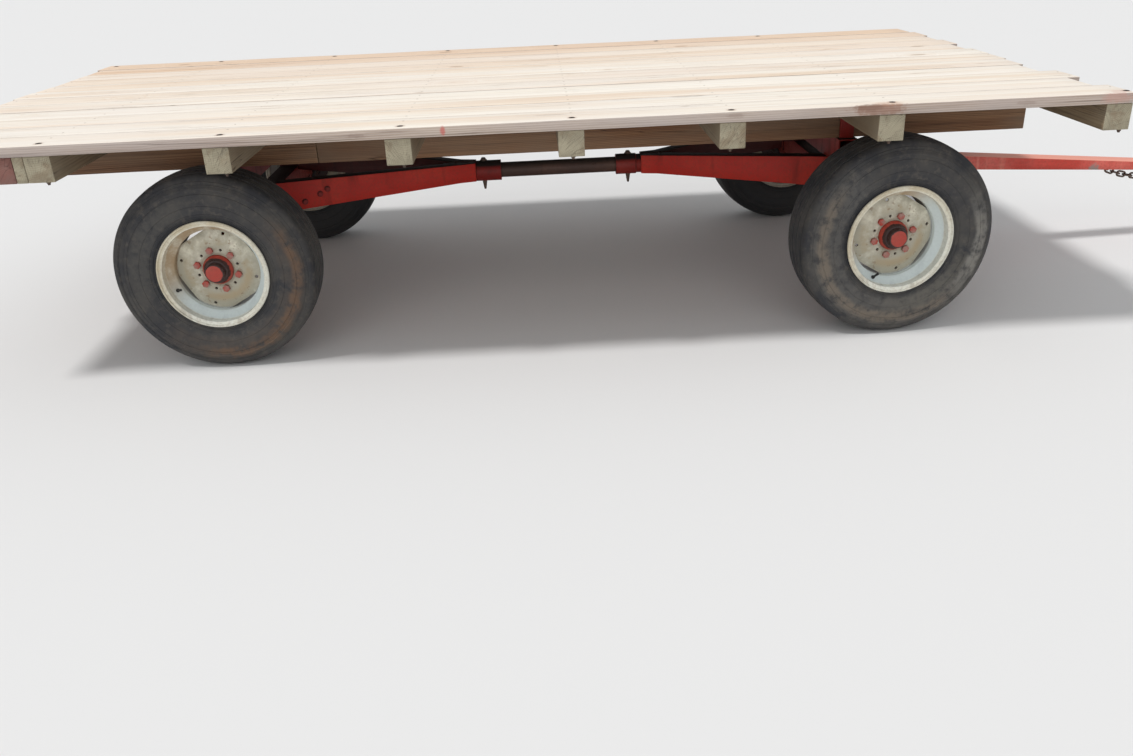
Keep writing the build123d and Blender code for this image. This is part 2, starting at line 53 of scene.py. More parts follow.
view = {
    "place": (-0.5827, -4.4161, 1.4966),  # metres, beside the wagon at standing height
    "down": 24.895,  # degrees
    "turn": -0.907,
    "tilt": 2.626,
    "lens": 31.184,
    "sensor": 36,
    "clipEnd": 200,
}

studio = {
    "floorSize": 120.0,
    "floorColour": (0.74, 0.73, 0.72, 1),
    "floorRoughness": 0.9,
    "skyColour": (0.94, 0.97, 1.0, 1),
    "skyLevel": 0.52,
    "keyWay": (0.50, 0.20, -0.88),  # the way its light travels, as the shadow's edges in the photo give it
    "keySpread": 8.0,  # degrees, for soft shadow edges
    "keyPower": 2.05,
    "fillWay": (0.10, 1.0, -0.22),
    "fillSpread": 70.0,
    "fillPower": 1.05,
}

mesh = {
    "merge": 0.00001,  # metres between points of a new shape that count as one
    "nodeMerge": 0.00004,  # the same for a frame node's loose triangles
    "flatAngle": 0.3,  # degrees between faces that count as one flat face
}
up, down = Vector((0, 0, 1)), Vector((0, 0, -1))


# Selecting and editing

def makeActive(piece):
    bpy.ops.object.select_all(action="DESELECT")
    piece.select_set(True)
    bpy.context.view_layer.objects.active = piece


def editPiece(piece, kind="VERT"):
    makeActive(piece)
    bpy.context.tool_settings.mesh_select_mode = [kind == name for name in ("VERT", "EDGE", "FACE")]
    bpy.ops.object.mode_set(mode="EDIT")


def editAll(piece):
    editPiece(piece)
    bpy.ops.mesh.select_all(action="SELECT")


def leaveEdit():
    bpy.ops.object.mode_set(mode="OBJECT")


def clearPicks(piece):
    for group in (piece.data.polygons, piece.data.edges, piece.data.vertices):
        group.foreach_set("select", [False] * len(group))


def pickEdges(piece, test):  # the test is given an edge's two ends
    clearPicks(piece)
    points = piece.data.vertices
    for edge in piece.data.edges:
        edge.select = test(points[edge.vertices[0]].co, points[edge.vertices[1]].co)


def applyModifier(piece, kind, **values):
    makeActive(piece)
    modifier = piece.modifiers.new(kind.lower(), kind)
    for key, value in values.items():
        setattr(modifier, key, value)
    bpy.ops.object.modifier_apply(modifier=modifier.name)


def roundEdges(piece, width, segments, angle):
    applyModifier(piece, "BEVEL", width=width, segments=segments, limit_method="ANGLE",
                  angle_limit=math.radians(angle))


def smoothByAngle(piece, degrees):
    makeActive(piece)
    bpy.ops.object.shade_smooth_by_angle(angle=math.radians(degrees))


def joinPieces(pieces, name):
    makeActive(pieces[0])
    for piece in pieces:
        piece.select_set(True)
    bpy.ops.object.join()
    pieces[0].name = name
    return pieces[0]


def copyOf(piece, name):
    copy = bpy.data.objects.new(name, piece.data.copy())
    bpy.context.scene.collection.objects.link(copy)
    return copy


def placedCopy(piece, name, matrix):
    copy = copyOf(piece, name)
    copy.data.transform(matrix)
    return copy


def mergedCopy(node, name):  # a frame node's shape as one welded mesh with flat faces whole
    copy = copyOf(nodes[node], name)
    editAll(copy)
    bpy.ops.mesh.customdata_custom_splitnormals_clear()
    bpy.ops.mesh.remove_doubles(threshold=mesh["nodeMerge"])
    bpy.ops.mesh.dissolve_limited(angle_limit=math.radians(mesh["flatAngle"]))
    leaveEdit()
    return copy


def solidBoxes(node):  # lowest and highest corner of each separate solid in a node
    editAll(mergedCopy(node, node + "Solids"))
    bpy.ops.mesh.separate(type="LOOSE")
    leaveEdit()
    boxes = []
    for part in list(bpy.context.selected_objects):
        corners = [vertex.co for vertex in part.data.vertices]
        boxes.append([Vector([pick(c[i] for c in corners) for i in range(3)]) for pick in (min, max)])
        bpy.data.objects.remove(part)
    return sorted(boxes, key=lambda box: tuple(box[0][:]))


def addDetail(piece, material, body):
    piece.data.materials.clear()
    piece.data.materials.append(material)
    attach(piece, body)


def finishPiece(piece, material, node):
    addDetail(piece, material, bodyOf[node])
    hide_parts(node)


# Building node trees: each function adds nodes to one tree and gives back what comes out

class ShaderNet:
    def __init__(self, tree):
        self.tree = tree

    def node(self, kind, values=None, **settings):
        node = self.tree.nodes.new("ShaderNode" + kind)
        for key, value in settings.items():
            setattr(node, key, value)
        for key, value in (values or {}).items():
            if isinstance(value, bpy.types.NodeSocket):
                self.tree.links.new(value, node.inputs[key])
            else:
                node.inputs[key].default_value = value
        return node

    def group(self, group, values):
        return self.node("Group", values, node_tree=group).outputs

    def maths(self, operation, first, second=0.0, clamp=False):
        return self.node("Math", {0: first, 1: second}, operation=operation, use_clamp=clamp).outputs[0]

    def plus(self, first, second, clamp=False):
        return self.maths("ADD", first, second, clamp)

    def minus(self, first, second):
        return self.maths("SUBTRACT", first, second)

    def times(self, first, second, clamp=False):
        return self.maths("MULTIPLY", first, second, clamp)

    def size(self, value):
        return self.maths("ABSOLUTE", value)

    def span(self, first, second):
        return self.maths("SQRT", self.plus(self.times(first, first), self.times(second, second)))

    def vectors(self, operation, *given):
        return self.node("VectorMath", dict(enumerate(given)), operation=operation).outputs

    def parts(self, vector):
        return self.node("SeparateXYZ", {0: vector}).outputs

    def joined(self, x, y, z):
        return self.node("CombineXYZ", {0: x, 1: y, 2: z}).outputs[0]

    def attribute(self, name, kind="Vector"):
        return self.node("Attribute", attribute_name=name).outputs[kind]

    def coordinates(self, kind="Object"):
        return self.node("TexCoord").outputs[kind]

    def ramp(self, value, low, high, toLow=0.0, toHigh=1.0):
        values = {"Value": value, "From Min": low, "From Max": high, "To Min": toLow, "To Max": toHigh}
        return self.node("MapRange", values, interpolation_type="SMOOTHSTEP").outputs[0]

    def band(self, value, low, high, soft=0.002):  # 1 between two values, 0 outside
        rising = self.ramp(value, low - soft, low + soft)
        return self.times(rising, self.ramp(value, high + soft, high - soft))

    def noise(self, vector, scale, detail, roughness=0.55):  # one scale, or one for each direction
        if isinstance(scale, tuple):
            vector, scale = self.vectors("MULTIPLY", vector, scale)[0], 1.0
        values = {"Vector": vector, "Scale": scale, "Detail": detail, "Roughness": roughness}
        return self.node("TexNoise", values).outputs[0]

    def wobble(self, vector, scale, roughness, amount):  # noise to both sides of zero
        return self.times(self.minus(self.noise(vector, scale, 4.0, roughness), 0.5), amount)

    def mix(self, factor, first, second, blend="MIX"):
        values = {0: factor, 6: first, 7: second}
        return self.node("Mix", values, data_type="RGBA", blend_type=blend).outputs[2]

    def layer(self, colour, tone, mask, strength, clamp=False):
        return self.mix(self.times(mask, strength, clamp), colour, tone)


def newGroup(name, inputs, outputs):  # inputs are label, kind and value; outputs are label and kind
    group = bpy.data.node_groups.new(name, "ShaderNodeTree")
    for label, kind, value in inputs:
        socket = group.interface.new_socket(name=label, in_out="INPUT", socket_type="NodeSocket" + kind)
        if value is not None:
            socket.default_value = value
    for label, kind in outputs:
        group.interface.new_socket(name=label, in_out="OUTPUT", socket_type="NodeSocket" + kind)
    return ShaderNet(group), group.nodes.new("NodeGroupInput").outputs


def giveOut(net, **sockets):
    made = net.tree.nodes.new("NodeGroupOutput")
    for label, socket in sockets.items():
        net.tree.links.new(socket, made.inputs[label])
    return net.tree


def newMaterial(name):
    material = bpy.data.materials.new(name)
    material.use_nodes = True
    return material, ShaderNet(material.node_tree), material.node_tree.nodes["Principled BSDF"]


def wireShader(net, shader, colour, roughness, height, bumpDistance):
    bump = net.node("Bump", {"Height": height, "Distance": bumpDistance, "Strength": 1.0}).outputs[0]
    for label, socket in (("Base Color", colour), ("Roughness", roughness), ("Normal", bump)):
        net.tree.links.new(socket, shader.inputs[label])


# Timber: rings round a pith beside the board, fibres, knots, drying cracks and weathering

timberGrain = {  # the tuples say how fast a pattern changes along, across and through a board
    "ringsPerMetre": 170.0,
    "bends": (0.55, 4.0, 4.0),
    "knots": (2.2, 5.5, 2.0),
    "cellsWithoutKnot": 0.62,
    "fibres": (3.0, 190.0, 190.0),
    "streaks": (0.8, 22.0, 22.0),
    "blotches": (1.1, 4.5, 4.5),
    "cracks": (0.7, 26.0, 26.0),
    "crackedPlaces": (1.3, 9.0, 9.0),
    "endFace": (0.0036, 0.0024),  # metres from the board's end
    "greyEnd": 0.14,
    "bump": 0.0011,
}


def makeTimberGroup():
    net, given = newGroup("weatheredTimber", [
        ("Place", "Vector", None), ("Share", "Vector", None), ("Pale", "Color", (0.7, 0.6, 0.45, 1)),
        ("Warm", "Color", (0.5, 0.35, 0.2, 1)), ("Dark", "Color", (0.2, 0.12, 0.07, 1)),
        ("Grey", "Color", (0.4, 0.38, 0.35, 1)), ("End", "Color", (0.4, 0.38, 0.3, 1)),
        ("Rings", "Float", 0.5), ("Fibres", "Float", 0.5), ("Greying", "Float", 0.3),
        ("Cracks", "Float", 0.5)],
        [("Colour", "Color"), ("Roughness", "Float"), ("Height", "Float")])
    place, grey, warm, dark = (given[label] for label in ("Place", "Grey", "Warm", "Dark"))
    toEnd = net.parts(given["Share"])[0]
    isEnd = net.ramp(toEnd, *timberGrain["endFace"])
    knotPlace = net.vectors("MULTIPLY", place, timberGrain["knots"])[0]
    knotCells = net.node("TexVoronoi", {"Vector": knotPlace, "Scale": 1.0}).outputs
    cellDraw = net.node("SeparateColor", {0: knotCells[1]}).outputs[0]
    chosen = net.maths("GREATER_THAN", cellDraw, timberGrain["cellsWithoutKnot"])
    knotNear = net.times(net.ramp(knotCells[0], 0.30, 0.0), chosen)
    knotHeart = net.times(net.ramp(knotCells[0], 0.095, 0.06), chosen)
    bend = net.noise(place, timberGrain["bends"], 2.0)
    parts = net.parts(place)
    across = net.plus(parts[1], net.times(bend, 0.05))
    depth = net.plus(parts[2], net.times(knotNear, 0.035))
    radius = net.span(across, depth)
    turns = net.times(radius, timberGrain["ringsPerMetre"])
    saw = net.maths("FRACT", net.plus(turns, net.times(bend, 2.0)))
    late = net.times(net.ramp(saw, 0.35, 0.93), net.ramp(saw, 1.0, 0.93))
    fibres = net.noise(place, timberGrain["fibres"], 5.0, 0.62)
    streaks = net.noise(place, timberGrain["streaks"], 3.0, 0.5)
    blotches = net.noise(place, timberGrain["blotches"], 4.0, 0.6)
    warmth = net.plus(net.times(late, 0.75), net.ramp(streaks, 0.42, 0.72, 0.0, 0.6))
    colour = net.layer(given["Pale"], warm, warmth, given["Rings"], True)
    colour = net.layer(colour, dark, net.ramp(fibres, 0.50, 0.76), given["Fibres"], True)
    colour = net.layer(colour, grey, net.ramp(blotches, 0.36, 0.68), given["Greying"], True)
    colour = net.layer(colour, warm, knotNear, 0.35)
    colour = net.layer(colour, dark, knotHeart, 0.75)
    nearEnd = net.times(net.ramp(toEnd, timberGrain["greyEnd"], 0.0), net.ramp(streaks, 0.35, 0.65))
    colour = net.layer(colour, grey, nearEnd, 0.45)
    endTone = net.layer(given["End"], warm, late, 0.30)
    endTone = net.mix(net.ramp(net.noise(place, 30.0, 4.0, 0.6), 0.40, 0.72, 0.0, 0.5), endTone, grey)
    endTone = net.mix(net.ramp(net.noise(place, 13.0, 5.0, 0.65), 0.50, 0.66, 0.0, 0.5), endTone, warm)
    colour = net.layer(colour, endTone, isEnd, 0.9)
    line = net.size(net.minus(net.noise(place, timberGrain["cracks"], 2.0, 0.4), 0.5))
    where = net.noise(place, timberGrain["crackedPlaces"], 1.0)
    crack = net.times(net.ramp(line, 0.007, 0.001), net.ramp(where, 0.50, 0.60))
    crack = net.times(net.times(crack, net.minus(1.0, isEnd)), given["Cracks"], True)
    spoke = net.maths("ARCTAN2", across, depth)
    spokePlace = net.joined(net.times(spoke, 9.0), parts[0], net.times(radius, 12.0))
    split = net.size(net.minus(net.noise(spokePlace, 1.0, 1.0, 0.3), 0.5))
    split = net.times(net.ramp(split, 0.010, 0.002), isEnd)
    crack = net.plus(crack, net.times(split, 0.5), True)
    colour = net.layer(colour, dark, crack, 0.85)
    rough = net.plus(0.72, net.times(fibres, 0.18))
    height = net.plus(net.times(fibres, 0.45), net.times(late, 0.25))
    height = net.minus(height, net.times(crack, 1.6))
    height = net.plus(height, net.times(knotHeart, 0.4))
    return giveOut(net, Colour=colour, Roughness=rough, Height=height)


# Steel: chips, rust, sun-faded paint, dirt streaks and worn edges, and a tone on top faces that is dust on some
# parts, painted shade on the parts under the deck and a painted highlight on the tongue

paintGrain = {
    "broad": 3.2,
    "middle": 17.0,
    "fine": 95.0,
    "runs": (26.0, 26.0, 2.2),  # slow along +Z, so that they hang down
    "edge": 0.0035,  # metres round an edge that wear
    "bump": 0.0005,
}


def makePaintGroup():
    net, given = newGroup("agedPaint", [
        ("Place", "Vector", None), ("Up", "Float", 0.0), ("Paint", "Color", (0.4, 0.04, 0.03, 1)),
        ("Faded", "Color", (0.5, 0.1, 0.07, 1)), ("Rust", "Color", (0.12, 0.05, 0.025, 1)),
        ("Grime", "Color", (0.03, 0.025, 0.02, 1)), ("Chips", "Float", 0.4), ("Wear", "Float", 0.5),
        ("Dirt", "Float", 0.4)],
        [("Colour", "Color"), ("Roughness", "Float"), ("Height", "Float")])
    place, rust, grimeAndPaintedLight = given["Place"], given["Rust"], given["Grime"]
    broad = net.noise(place, paintGrain["broad"], 5.0, 0.6)
    middle = net.noise(place, paintGrain["middle"], 6.0, 0.62)
    fine = net.noise(place, paintGrain["fine"], 5.0, 0.6)
    runs = net.noise(place, paintGrain["runs"], 3.0, 0.5)
    colour = net.mix(net.ramp(broad, 0.40, 0.66), given["Paint"], given["Faded"])
    colour = net.mix(net.ramp(fine, 0.42, 0.70, 0.0, 0.28), colour, rust)
    rounded = net.node("Bevel", {"Radius": paintGrain["edge"]}, samples=4).outputs[0]
    flat = net.node("NewGeometry").outputs["Normal"]
    bend = net.vectors("DOT_PRODUCT", rounded, flat)["Value"]
    edgeMask = net.times(net.ramp(bend, 0.995, 0.90), net.ramp(middle, 0.36, 0.60))
    edgeMask = net.times(edgeMask, given["Wear"], True)
    threshold = net.minus(0.74, net.times(given["Chips"], 0.22))
    spots = net.minus(net.plus(net.times(middle, 0.7), net.times(fine, 0.3)), threshold)
    bare = net.maths("MAXIMUM", net.ramp(spots, 0.0, 0.03), edgeMask, True)
    colour = net.mix(bare, colour, net.mix(fine, rust, net.mix(0.5, rust, grimeAndPaintedLight)))
    streaked = net.times(net.ramp(runs, 0.50, 0.72), net.ramp(broad, 0.35, 0.6))
    # top faces take the grime colour: painted shade on the dark red parts under the deck, a painted highlight on
    # the tongue's pale top, dust elsewhere
    topDirtAndPaintedLight = net.times(net.ramp(given["Up"], 0.35, 0.85), 1.6)
    dirtAndPaintedLight = net.times(net.plus(net.times(streaked, 0.55), topDirtAndPaintedLight), given["Dirt"], True)
    colour = net.mix(dirtAndPaintedLight, colour, grimeAndPaintedLight)
    rough = net.plus(net.times(bare, 0.22), net.times(fine, 0.18))
    rough = net.plus(net.plus(rough, net.times(dirtAndPaintedLight, 0.2)), 0.42, True)
    height = net.minus(net.times(fine, 0.35), net.times(bare, 0.8))
    return giveOut(net, Colour=colour, Roughness=rough, Height=height)


# Wheels: radius, depth and clock angle read from a stored place round the hub

def makeWheelGroup():
    net, given = newGroup("wheelPlace", [("Place", "Vector", None)],
                          [("Radius", "Float"), ("Depth", "Float"), ("Clock", "Float")])
    parts = net.parts(given["Place"])
    clock = net.maths("ARCTAN2", net.times(parts[0], -1.0), parts[2])
    return giveOut(net, Radius=net.span(parts[0], parts[2]), Depth=parts[1], Clock=clock)


def makeDirtBandGroup():  # a soft patch between two radii round one clock angle
    net, given = newGroup("dirtBand", [
        ("Place", "Vector", None), ("Radius", "Float", 0.0), ("Clock", "Float", 0.0),
        ("Inner", "Float", 0.25), ("Outer", "Float", 0.33), ("Middle", "Float", 2.0),
        ("Spread", "Float", 1.0)], [("Mask", "Float")])
    place = given["Place"]
    radius = net.plus(given["Radius"], net.wobble(place, 9.0, 0.6, 0.05))
    inside = net.ramp(net.minus(radius, given["Inner"]), -0.008, 0.014)
    outside = net.ramp(net.minus(given["Outer"], radius), -0.006, 0.018)
    near = net.maths("COSINE", net.minus(given["Clock"], given["Middle"]))
    around = net.ramp(net.minus(near, net.maths("COSINE", given["Spread"])), -0.05, 0.45)
    broken = net.ramp(net.noise(place, 26.0, 5.0, 0.65), 0.28, 0.60)
    return giveOut(net, Mask=net.times(net.times(net.times(inside, outside), around), broken))


def makeSpotGroup():  # a ragged patch inside an ellipsoid
    net, given = newGroup("stainSpot", [
        ("Place", "Vector", None), ("Centre", "Vector", None), ("Size", "Vector", None)], [("Mask", "Float")])
    away = net.vectors("SUBTRACT", given["Place"], given["Centre"])[0]
    reach = net.vectors("LENGTH", net.vectors("DIVIDE", away, given["Size"])[0])["Value"]
    ragged = net.wobble(given["Place"], 60.0, 0.65, 1.5)
    return giveOut(net, Mask=net.ramp(net.plus(reach, ragged), 1.1, 0.45))


timberGroup = makeTimberGroup()
paintGroup = makePaintGroup()
wheelGroup = makeWheelGroup()
dirtBandGroup = makeDirtBandGroup()
spotGroup = makeSpotGroup()

timberLooks = {
    "deckTop": {
        "Pale": (0.90, 0.85, 0.76, 1), "Warm": (0.76, 0.61, 0.47, 1), "Dark": (0.44, 0.33, 0.24, 1),
        "Grey": (0.83, 0.76, 0.69, 1), "End": (0.46, 0.41, 0.34, 1),
        "Rings": 0.62, "Fibres": 0.45, "Greying": 0.55, "Cracks": 0.8},
    "deckSide": {
        "Pale": (0.50, 0.42, 0.36, 1), "Warm": (0.33, 0.23, 0.17, 1), "Dark": (0.13, 0.09, 0.07, 1),
        "Grey": (0.42, 0.365, 0.345, 1), "End": (0.42, 0.37, 0.31, 1),
        "Rings": 0.9, "Fibres": 0.9, "Greying": 0.6, "Cracks": 1.0},
    "sill": {
        "Pale": (0.27, 0.205, 0.125, 1), "Warm": (0.17, 0.105, 0.055, 1), "Dark": (0.06, 0.037, 0.024, 1),
        "Grey": (0.24, 0.205, 0.145, 1), "End": (0.37, 0.335, 0.24, 1),
        "Rings": 0.8, "Fibres": 0.6, "Greying": 0.5, "Cracks": 0.8},
    "stained": {
        "Pale": (0.21, 0.09, 0.07, 1), "Warm": (0.11, 0.036, 0.028, 1), "Dark": (0.04, 0.016, 0.013, 1),
        "Grey": (0.22, 0.14, 0.12, 1), "End": (0.23, 0.10, 0.08, 1),
        "Rings": 0.8, "Fibres": 0.7, "Greying": 0.5, "Cracks": 1.0},
    "stringer": {
        "Pale": (0.28, 0.145, 0.068, 1), "Warm": (0.13, 0.050, 0.019, 1), "Dark": (0.035, 0.017, 0.009, 1),
        "Grey": (0.20, 0.14, 0.095, 1), "End": (0.26, 0.17, 0.10, 1),
        "Rings": 1.0, "Fibres": 0.8, "Greying": 0.6, "Cracks": 1.0},
}
paintLooks = {
    # the hounds' red paint made darker, as painted shade for the parts deep under the deck
    "gearRed": {
        "Paint": (0.22, 0.011, 0.008, 1), "Faded": (0.26, 0.022, 0.014, 1), "Rust": (0.07, 0.026, 0.016, 1),
        "Grime": (0.018, 0.011, 0.010, 1), "Chips": 0.45, "Wear": 0.6, "Dirt": 1.0},
    "houndRed": {
        "Paint": (0.48, 0.016, 0.006, 1), "Faded": (0.55, 0.032, 0.014, 1), "Rust": (0.12, 0.036, 0.018, 1),
        "Grime": (0.016, 0.009, 0.008, 1), "Chips": 0.34, "Wear": 0.6, "Dirt": 0.8},
    # the tongue's pale pinkish top tone is a painted highlight of sunlight on its top faces, and its paler faded
    # tone is partly painted sunlight
    "tongueRed": {
        "Paint": (0.48, 0.045, 0.030, 1), "Faded": (0.62, 0.13, 0.100, 1), "Rust": (0.14, 0.05, 0.03, 1),
        "Grime": (0.78, 0.33, 0.25, 1), "Chips": 0.38, "Wear": 0.9, "Dirt": 0.85},
    "hitchRed": {
        "Paint": (0.46, 0.050, 0.030, 1), "Faded": (0.50, 0.11, 0.075, 1), "Rust": (0.13, 0.06, 0.035, 1),
        "Grime": (0.09, 0.06, 0.05, 1), "Chips": 0.75, "Wear": 1.0, "Dirt": 0.5},
    "hubRed": {
        "Paint": (0.38, 0.038, 0.022, 1), "Faded": (0.38, 0.10, 0.075, 1), "Rust": (0.11, 0.045, 0.024, 1),
        "Grime": (0.05, 0.028, 0.02, 1), "Chips": 0.55, "Wear": 0.7, "Dirt": 0.8},
    "rimCream": {
        "Paint": (0.68, 0.65, 0.53, 1), "Faded": (0.73, 0.73, 0.64, 1), "Rust": (0.20, 0.095, 0.04, 1),
        "Grime": (0.19, 0.14, 0.085, 1), "Chips": 0.30, "Wear": 0.40, "Dirt": 0.8},
    "reachSteel": {
        "Paint": (0.075, 0.045, 0.036, 1), "Faded": (0.11, 0.06, 0.045, 1), "Rust": (0.085, 0.042, 0.026, 1),
        "Grime": (0.030, 0.024, 0.020, 1), "Chips": 0.6, "Wear": 0.4, "Dirt": 0.5},
    "pinSteel": {
        "Paint": (0.11, 0.085, 0.070, 1), "Faded": (0.15, 0.10, 0.075, 1), "Rust": (0.11, 0.055, 0.032, 1),
        "Grime": (0.035, 0.028, 0.024, 1), "Chips": 0.6, "Wear": 0.5, "Dirt": 0.4},
    "nailZinc": {
        "Paint": (0.50, 0.45, 0.39, 1), "Faded": (0.56, 0.50, 0.43, 1), "Rust": (0.36, 0.24, 0.16, 1),
        "Grime": (0.50, 0.42, 0.34, 1), "Chips": 0.3, "Wear": 0.5, "Dirt": 0.3},
    "valveRubber": {
        "Paint": (0.020, 0.020, 0.021, 1), "Faded": (0.035, 0.034, 0.032, 1), "Rust": (0.03, 0.028, 0.025, 1),
        "Grime": (0.03, 0.028, 0.025, 1), "Chips": 0.1, "Wear": 0.3, "Dirt": 0.3},
}
metalShares = {"reachSteel": 0.25, "pinSteel": 0.4, "hitchRed": 0.15, "nailZinc": 0.2}
steelGloss = 0.3

# Stains: centre, size, colour and strength, placed as the photo shows them on the near edge and the tongue
edgeStains = [
    ((0.552, -1.112, 0.890), (0.100, 0.030, 0.030), (0.24, 0.105, 0.060, 1), 0.62),
    ((0.520, -1.112, 0.897), (0.055, 0.030, 0.016), (0.14, 0.070, 0.042, 1), 0.40),
    ((0.590, -1.085, 0.903), (0.060, 0.034, 0.012), (0.54, 0.29, 0.18, 1), 0.35),
    ((1.357, -1.112, 0.888), (0.060, 0.030, 0.026), (0.50, 0.24, 0.19, 1), 0.42),
    ((1.376, -1.075, 0.903), (0.034, 0.034, 0.012), (0.60, 0.32, 0.26, 1), 0.35),
    ((-0.903, -1.112, 0.888), (0.010, 0.020, 0.018), (0.50, 0.10, 0.08, 1), 0.75),
    ((-1.190, -1.112, 0.884), (0.040, 0.030, 0.010), (0.24, 0.17, 0.14, 1), 0.50),
    ((0.070, -1.112, 0.889), (0.034, 0.030, 0.009), (0.26, 0.19, 0.15, 1), 0.40),
    ((1.050, -1.112, 0.886), (0.046, 0.030, 0.008), (0.26, 0.19, 0.16, 1), 0.40),
]
tonguePatches = [
    ((1.985, 0.072, 0.352), (0.038, 0.044, 0.034), (0.20, 0.21, 0.19, 1), 0.85),
    ((2.27, 0.10, 0.31), (0.10, 0.08, 0.03), (0.26, 0.20, 0.17, 1), 0.5),
    ((2.47, 0.14, 0.33), (0.12, 0.08, 0.02), (0.14, 0.09, 0.07, 1), 0.6),
]
boltPlaces = {  # metres along the deck, one over each cross sill
    "along": (-2.800, -2.247, -1.647, -1.047, -0.472, 0.064, 0.608, 1.403),
    "fromMiddle": 1.070,
    "headRadius": 0.0115,
    "stain": (0.030, 0.012),  # where the rust round a head ends and where it is full
}


def upness(net):  # how far a face looks up, in the piece's own frame
    return net.parts(net.coordinates("Normal"))[2]


def innerness(net):  # 1 on faces that look towards the wagon's middle line, 0 on those that look out
    side = net.maths("SIGN", net.parts(net.coordinates())[1])
    return net.ramp(net.times(side, net.parts(net.coordinates("Normal"))[1]), 0.05, -0.35)


def addSpots(net, colour, spots):
    place = net.coordinates()
    for centre, size, tone, strength in spots:
        mask = net.group(spotGroup, {"Place": place, "Centre": centre, "Size": size})["Mask"]
        colour = net.layer(colour, tone, mask, strength)
    return colour


def timberPattern(net, look):
    place, share = net.attribute("grainPlace"), net.attribute("boardShare")
    return net.group(timberGroup, {"Place": place, "Share": share, **timberLooks[look]})


def timberMaterial(name, look):
    material, net, shader = newMaterial(name)
    out = timberPattern(net, look)
    wireShader(net, shader, out["Colour"], out["Roughness"], out["Height"], timberGrain["bump"])
    return material


deckLook = {
    "tint": (0.86, 0.70, 0.58, 1),
    "pink": (0.90, 0.76, 0.64, 1),
    "pinkStreaks": (0.35, 7.0, 7.0),
    "seam": (0.36, 0.26, 0.18, 1),
    "seamEdge": (0.965, 0.994),  # shares of half a board's width
    "seamBreaks": (2.6, 40.0, 0.0),
    "rust": (0.30, 0.15, 0.09, 1),
    "bump": 0.0012,
}


def deckMaterial():
    material, net, shader = newMaterial("deckWood")
    place = net.attribute("grainPlace")
    top, side = timberPattern(net, "deckTop"), timberPattern(net, "deckSide")
    colour = net.mix(net.attribute("boardTint", "Fac"), top["Colour"], deckLook["tint"], "MULTIPLY")
    pinks = net.ramp(net.noise(place, deckLook["pinkStreaks"], 3.0, 0.5), 0.52, 0.72, 0.0, 0.5)
    colour = net.mix(pinks, colour, deckLook["pink"], "MULTIPLY")
    across = net.size(net.parts(net.attribute("boardShare"))[1])
    seamWear = net.ramp(net.noise(place, deckLook["seamBreaks"], 4.0, 0.6), 0.34, 0.58)
    seam = net.times(net.ramp(across, *deckLook["seamEdge"]), net.plus(0.2, seamWear))
    colour = net.layer(colour, deckLook["seam"], seam, 0.42, True)
    metres = net.coordinates()
    flat = net.parts(metres)
    aside = net.minus(net.size(flat[1]), boltPlaces["fromMiddle"])
    nearest = 1.0
    for along in boltPlaces["along"]:
        nearest = net.maths("MINIMUM", net.span(net.minus(flat[0], along), aside), nearest)
    ragged = net.times(net.noise(metres, 55.0, 3.0, 0.6), 0.012)
    ring = net.ramp(net.plus(nearest, ragged), *boltPlaces["stain"])
    colour = net.layer(colour, deckLook["rust"], ring, 0.65)
    isTop = net.ramp(upness(net), 0.35, 0.85)
    colour = addSpots(net, net.mix(isTop, side["Colour"], colour), edgeStains)
    wireShader(net, shader, colour, top["Roughness"], top["Height"], deckLook["bump"])
    return material


# inner sets how much painted shade darkens the faces that look towards the wagon's middle
def gearMaterial(name, spots=(), inner=0.0):
    material, net, shader = newMaterial(name)
    out = net.group(paintGroup, {"Place": net.coordinates(), "Up": upness(net), **paintLooks[name]})
    colour = addSpots(net, out["Colour"], spots)
    if inner:  # painted shade: the grime colour darkens the faces that look towards the wagon's middle, where shade falls under the deck
        colour = net.layer(colour, paintLooks[name]["Grime"], innerness(net), inner)
    wireShader(net, shader, colour, out["Roughness"], out["Height"], paintGrain["bump"])
    shader.inputs["Metallic"].default_value = metalShares.get(name, 0.0)
    shader.inputs["Specular IOR Level"].default_value = steelGloss
    return material


def wheelPattern(net):
    place = net.attribute("wheelPlace")
    return place, net.group(wheelGroup, {"Place": place})


def wheelPaint(name, makeLayers):  # the layers are colour, strength and mask, from the lowest to the top one
    material, net, shader = newMaterial(name)
    place, wheel = wheelPattern(net)
    out = net.group(paintGroup, {"Place": place, "Up": 0.0, **paintLooks[name]})
    colour = out["Colour"]
    for tone, strength, mask in makeLayers(net, place, wheel["Radius"], wheel["Depth"], wheel["Clock"]):
        colour = net.layer(colour, tone, mask, strength)
    wireShader(net, shader, colour, out["Roughness"], out["Height"], paintGrain["bump"])
    return material


rimLook = {  # radii, and depths in metres from the wheel's middle towards its outside
    "discEdge": (0.157, 0.152),
    "wellEdge": (0.187, 0.181),
    "flangeEdge": (0.186, 0.192),
    "stain": (0.098, 0.128, 0.012),
    "hubRing": (0.056, 0.066, 0.006),
    "foot": (0.016, 0.030, 0.005),
    "rearSide": (0.018, 0.014),
}


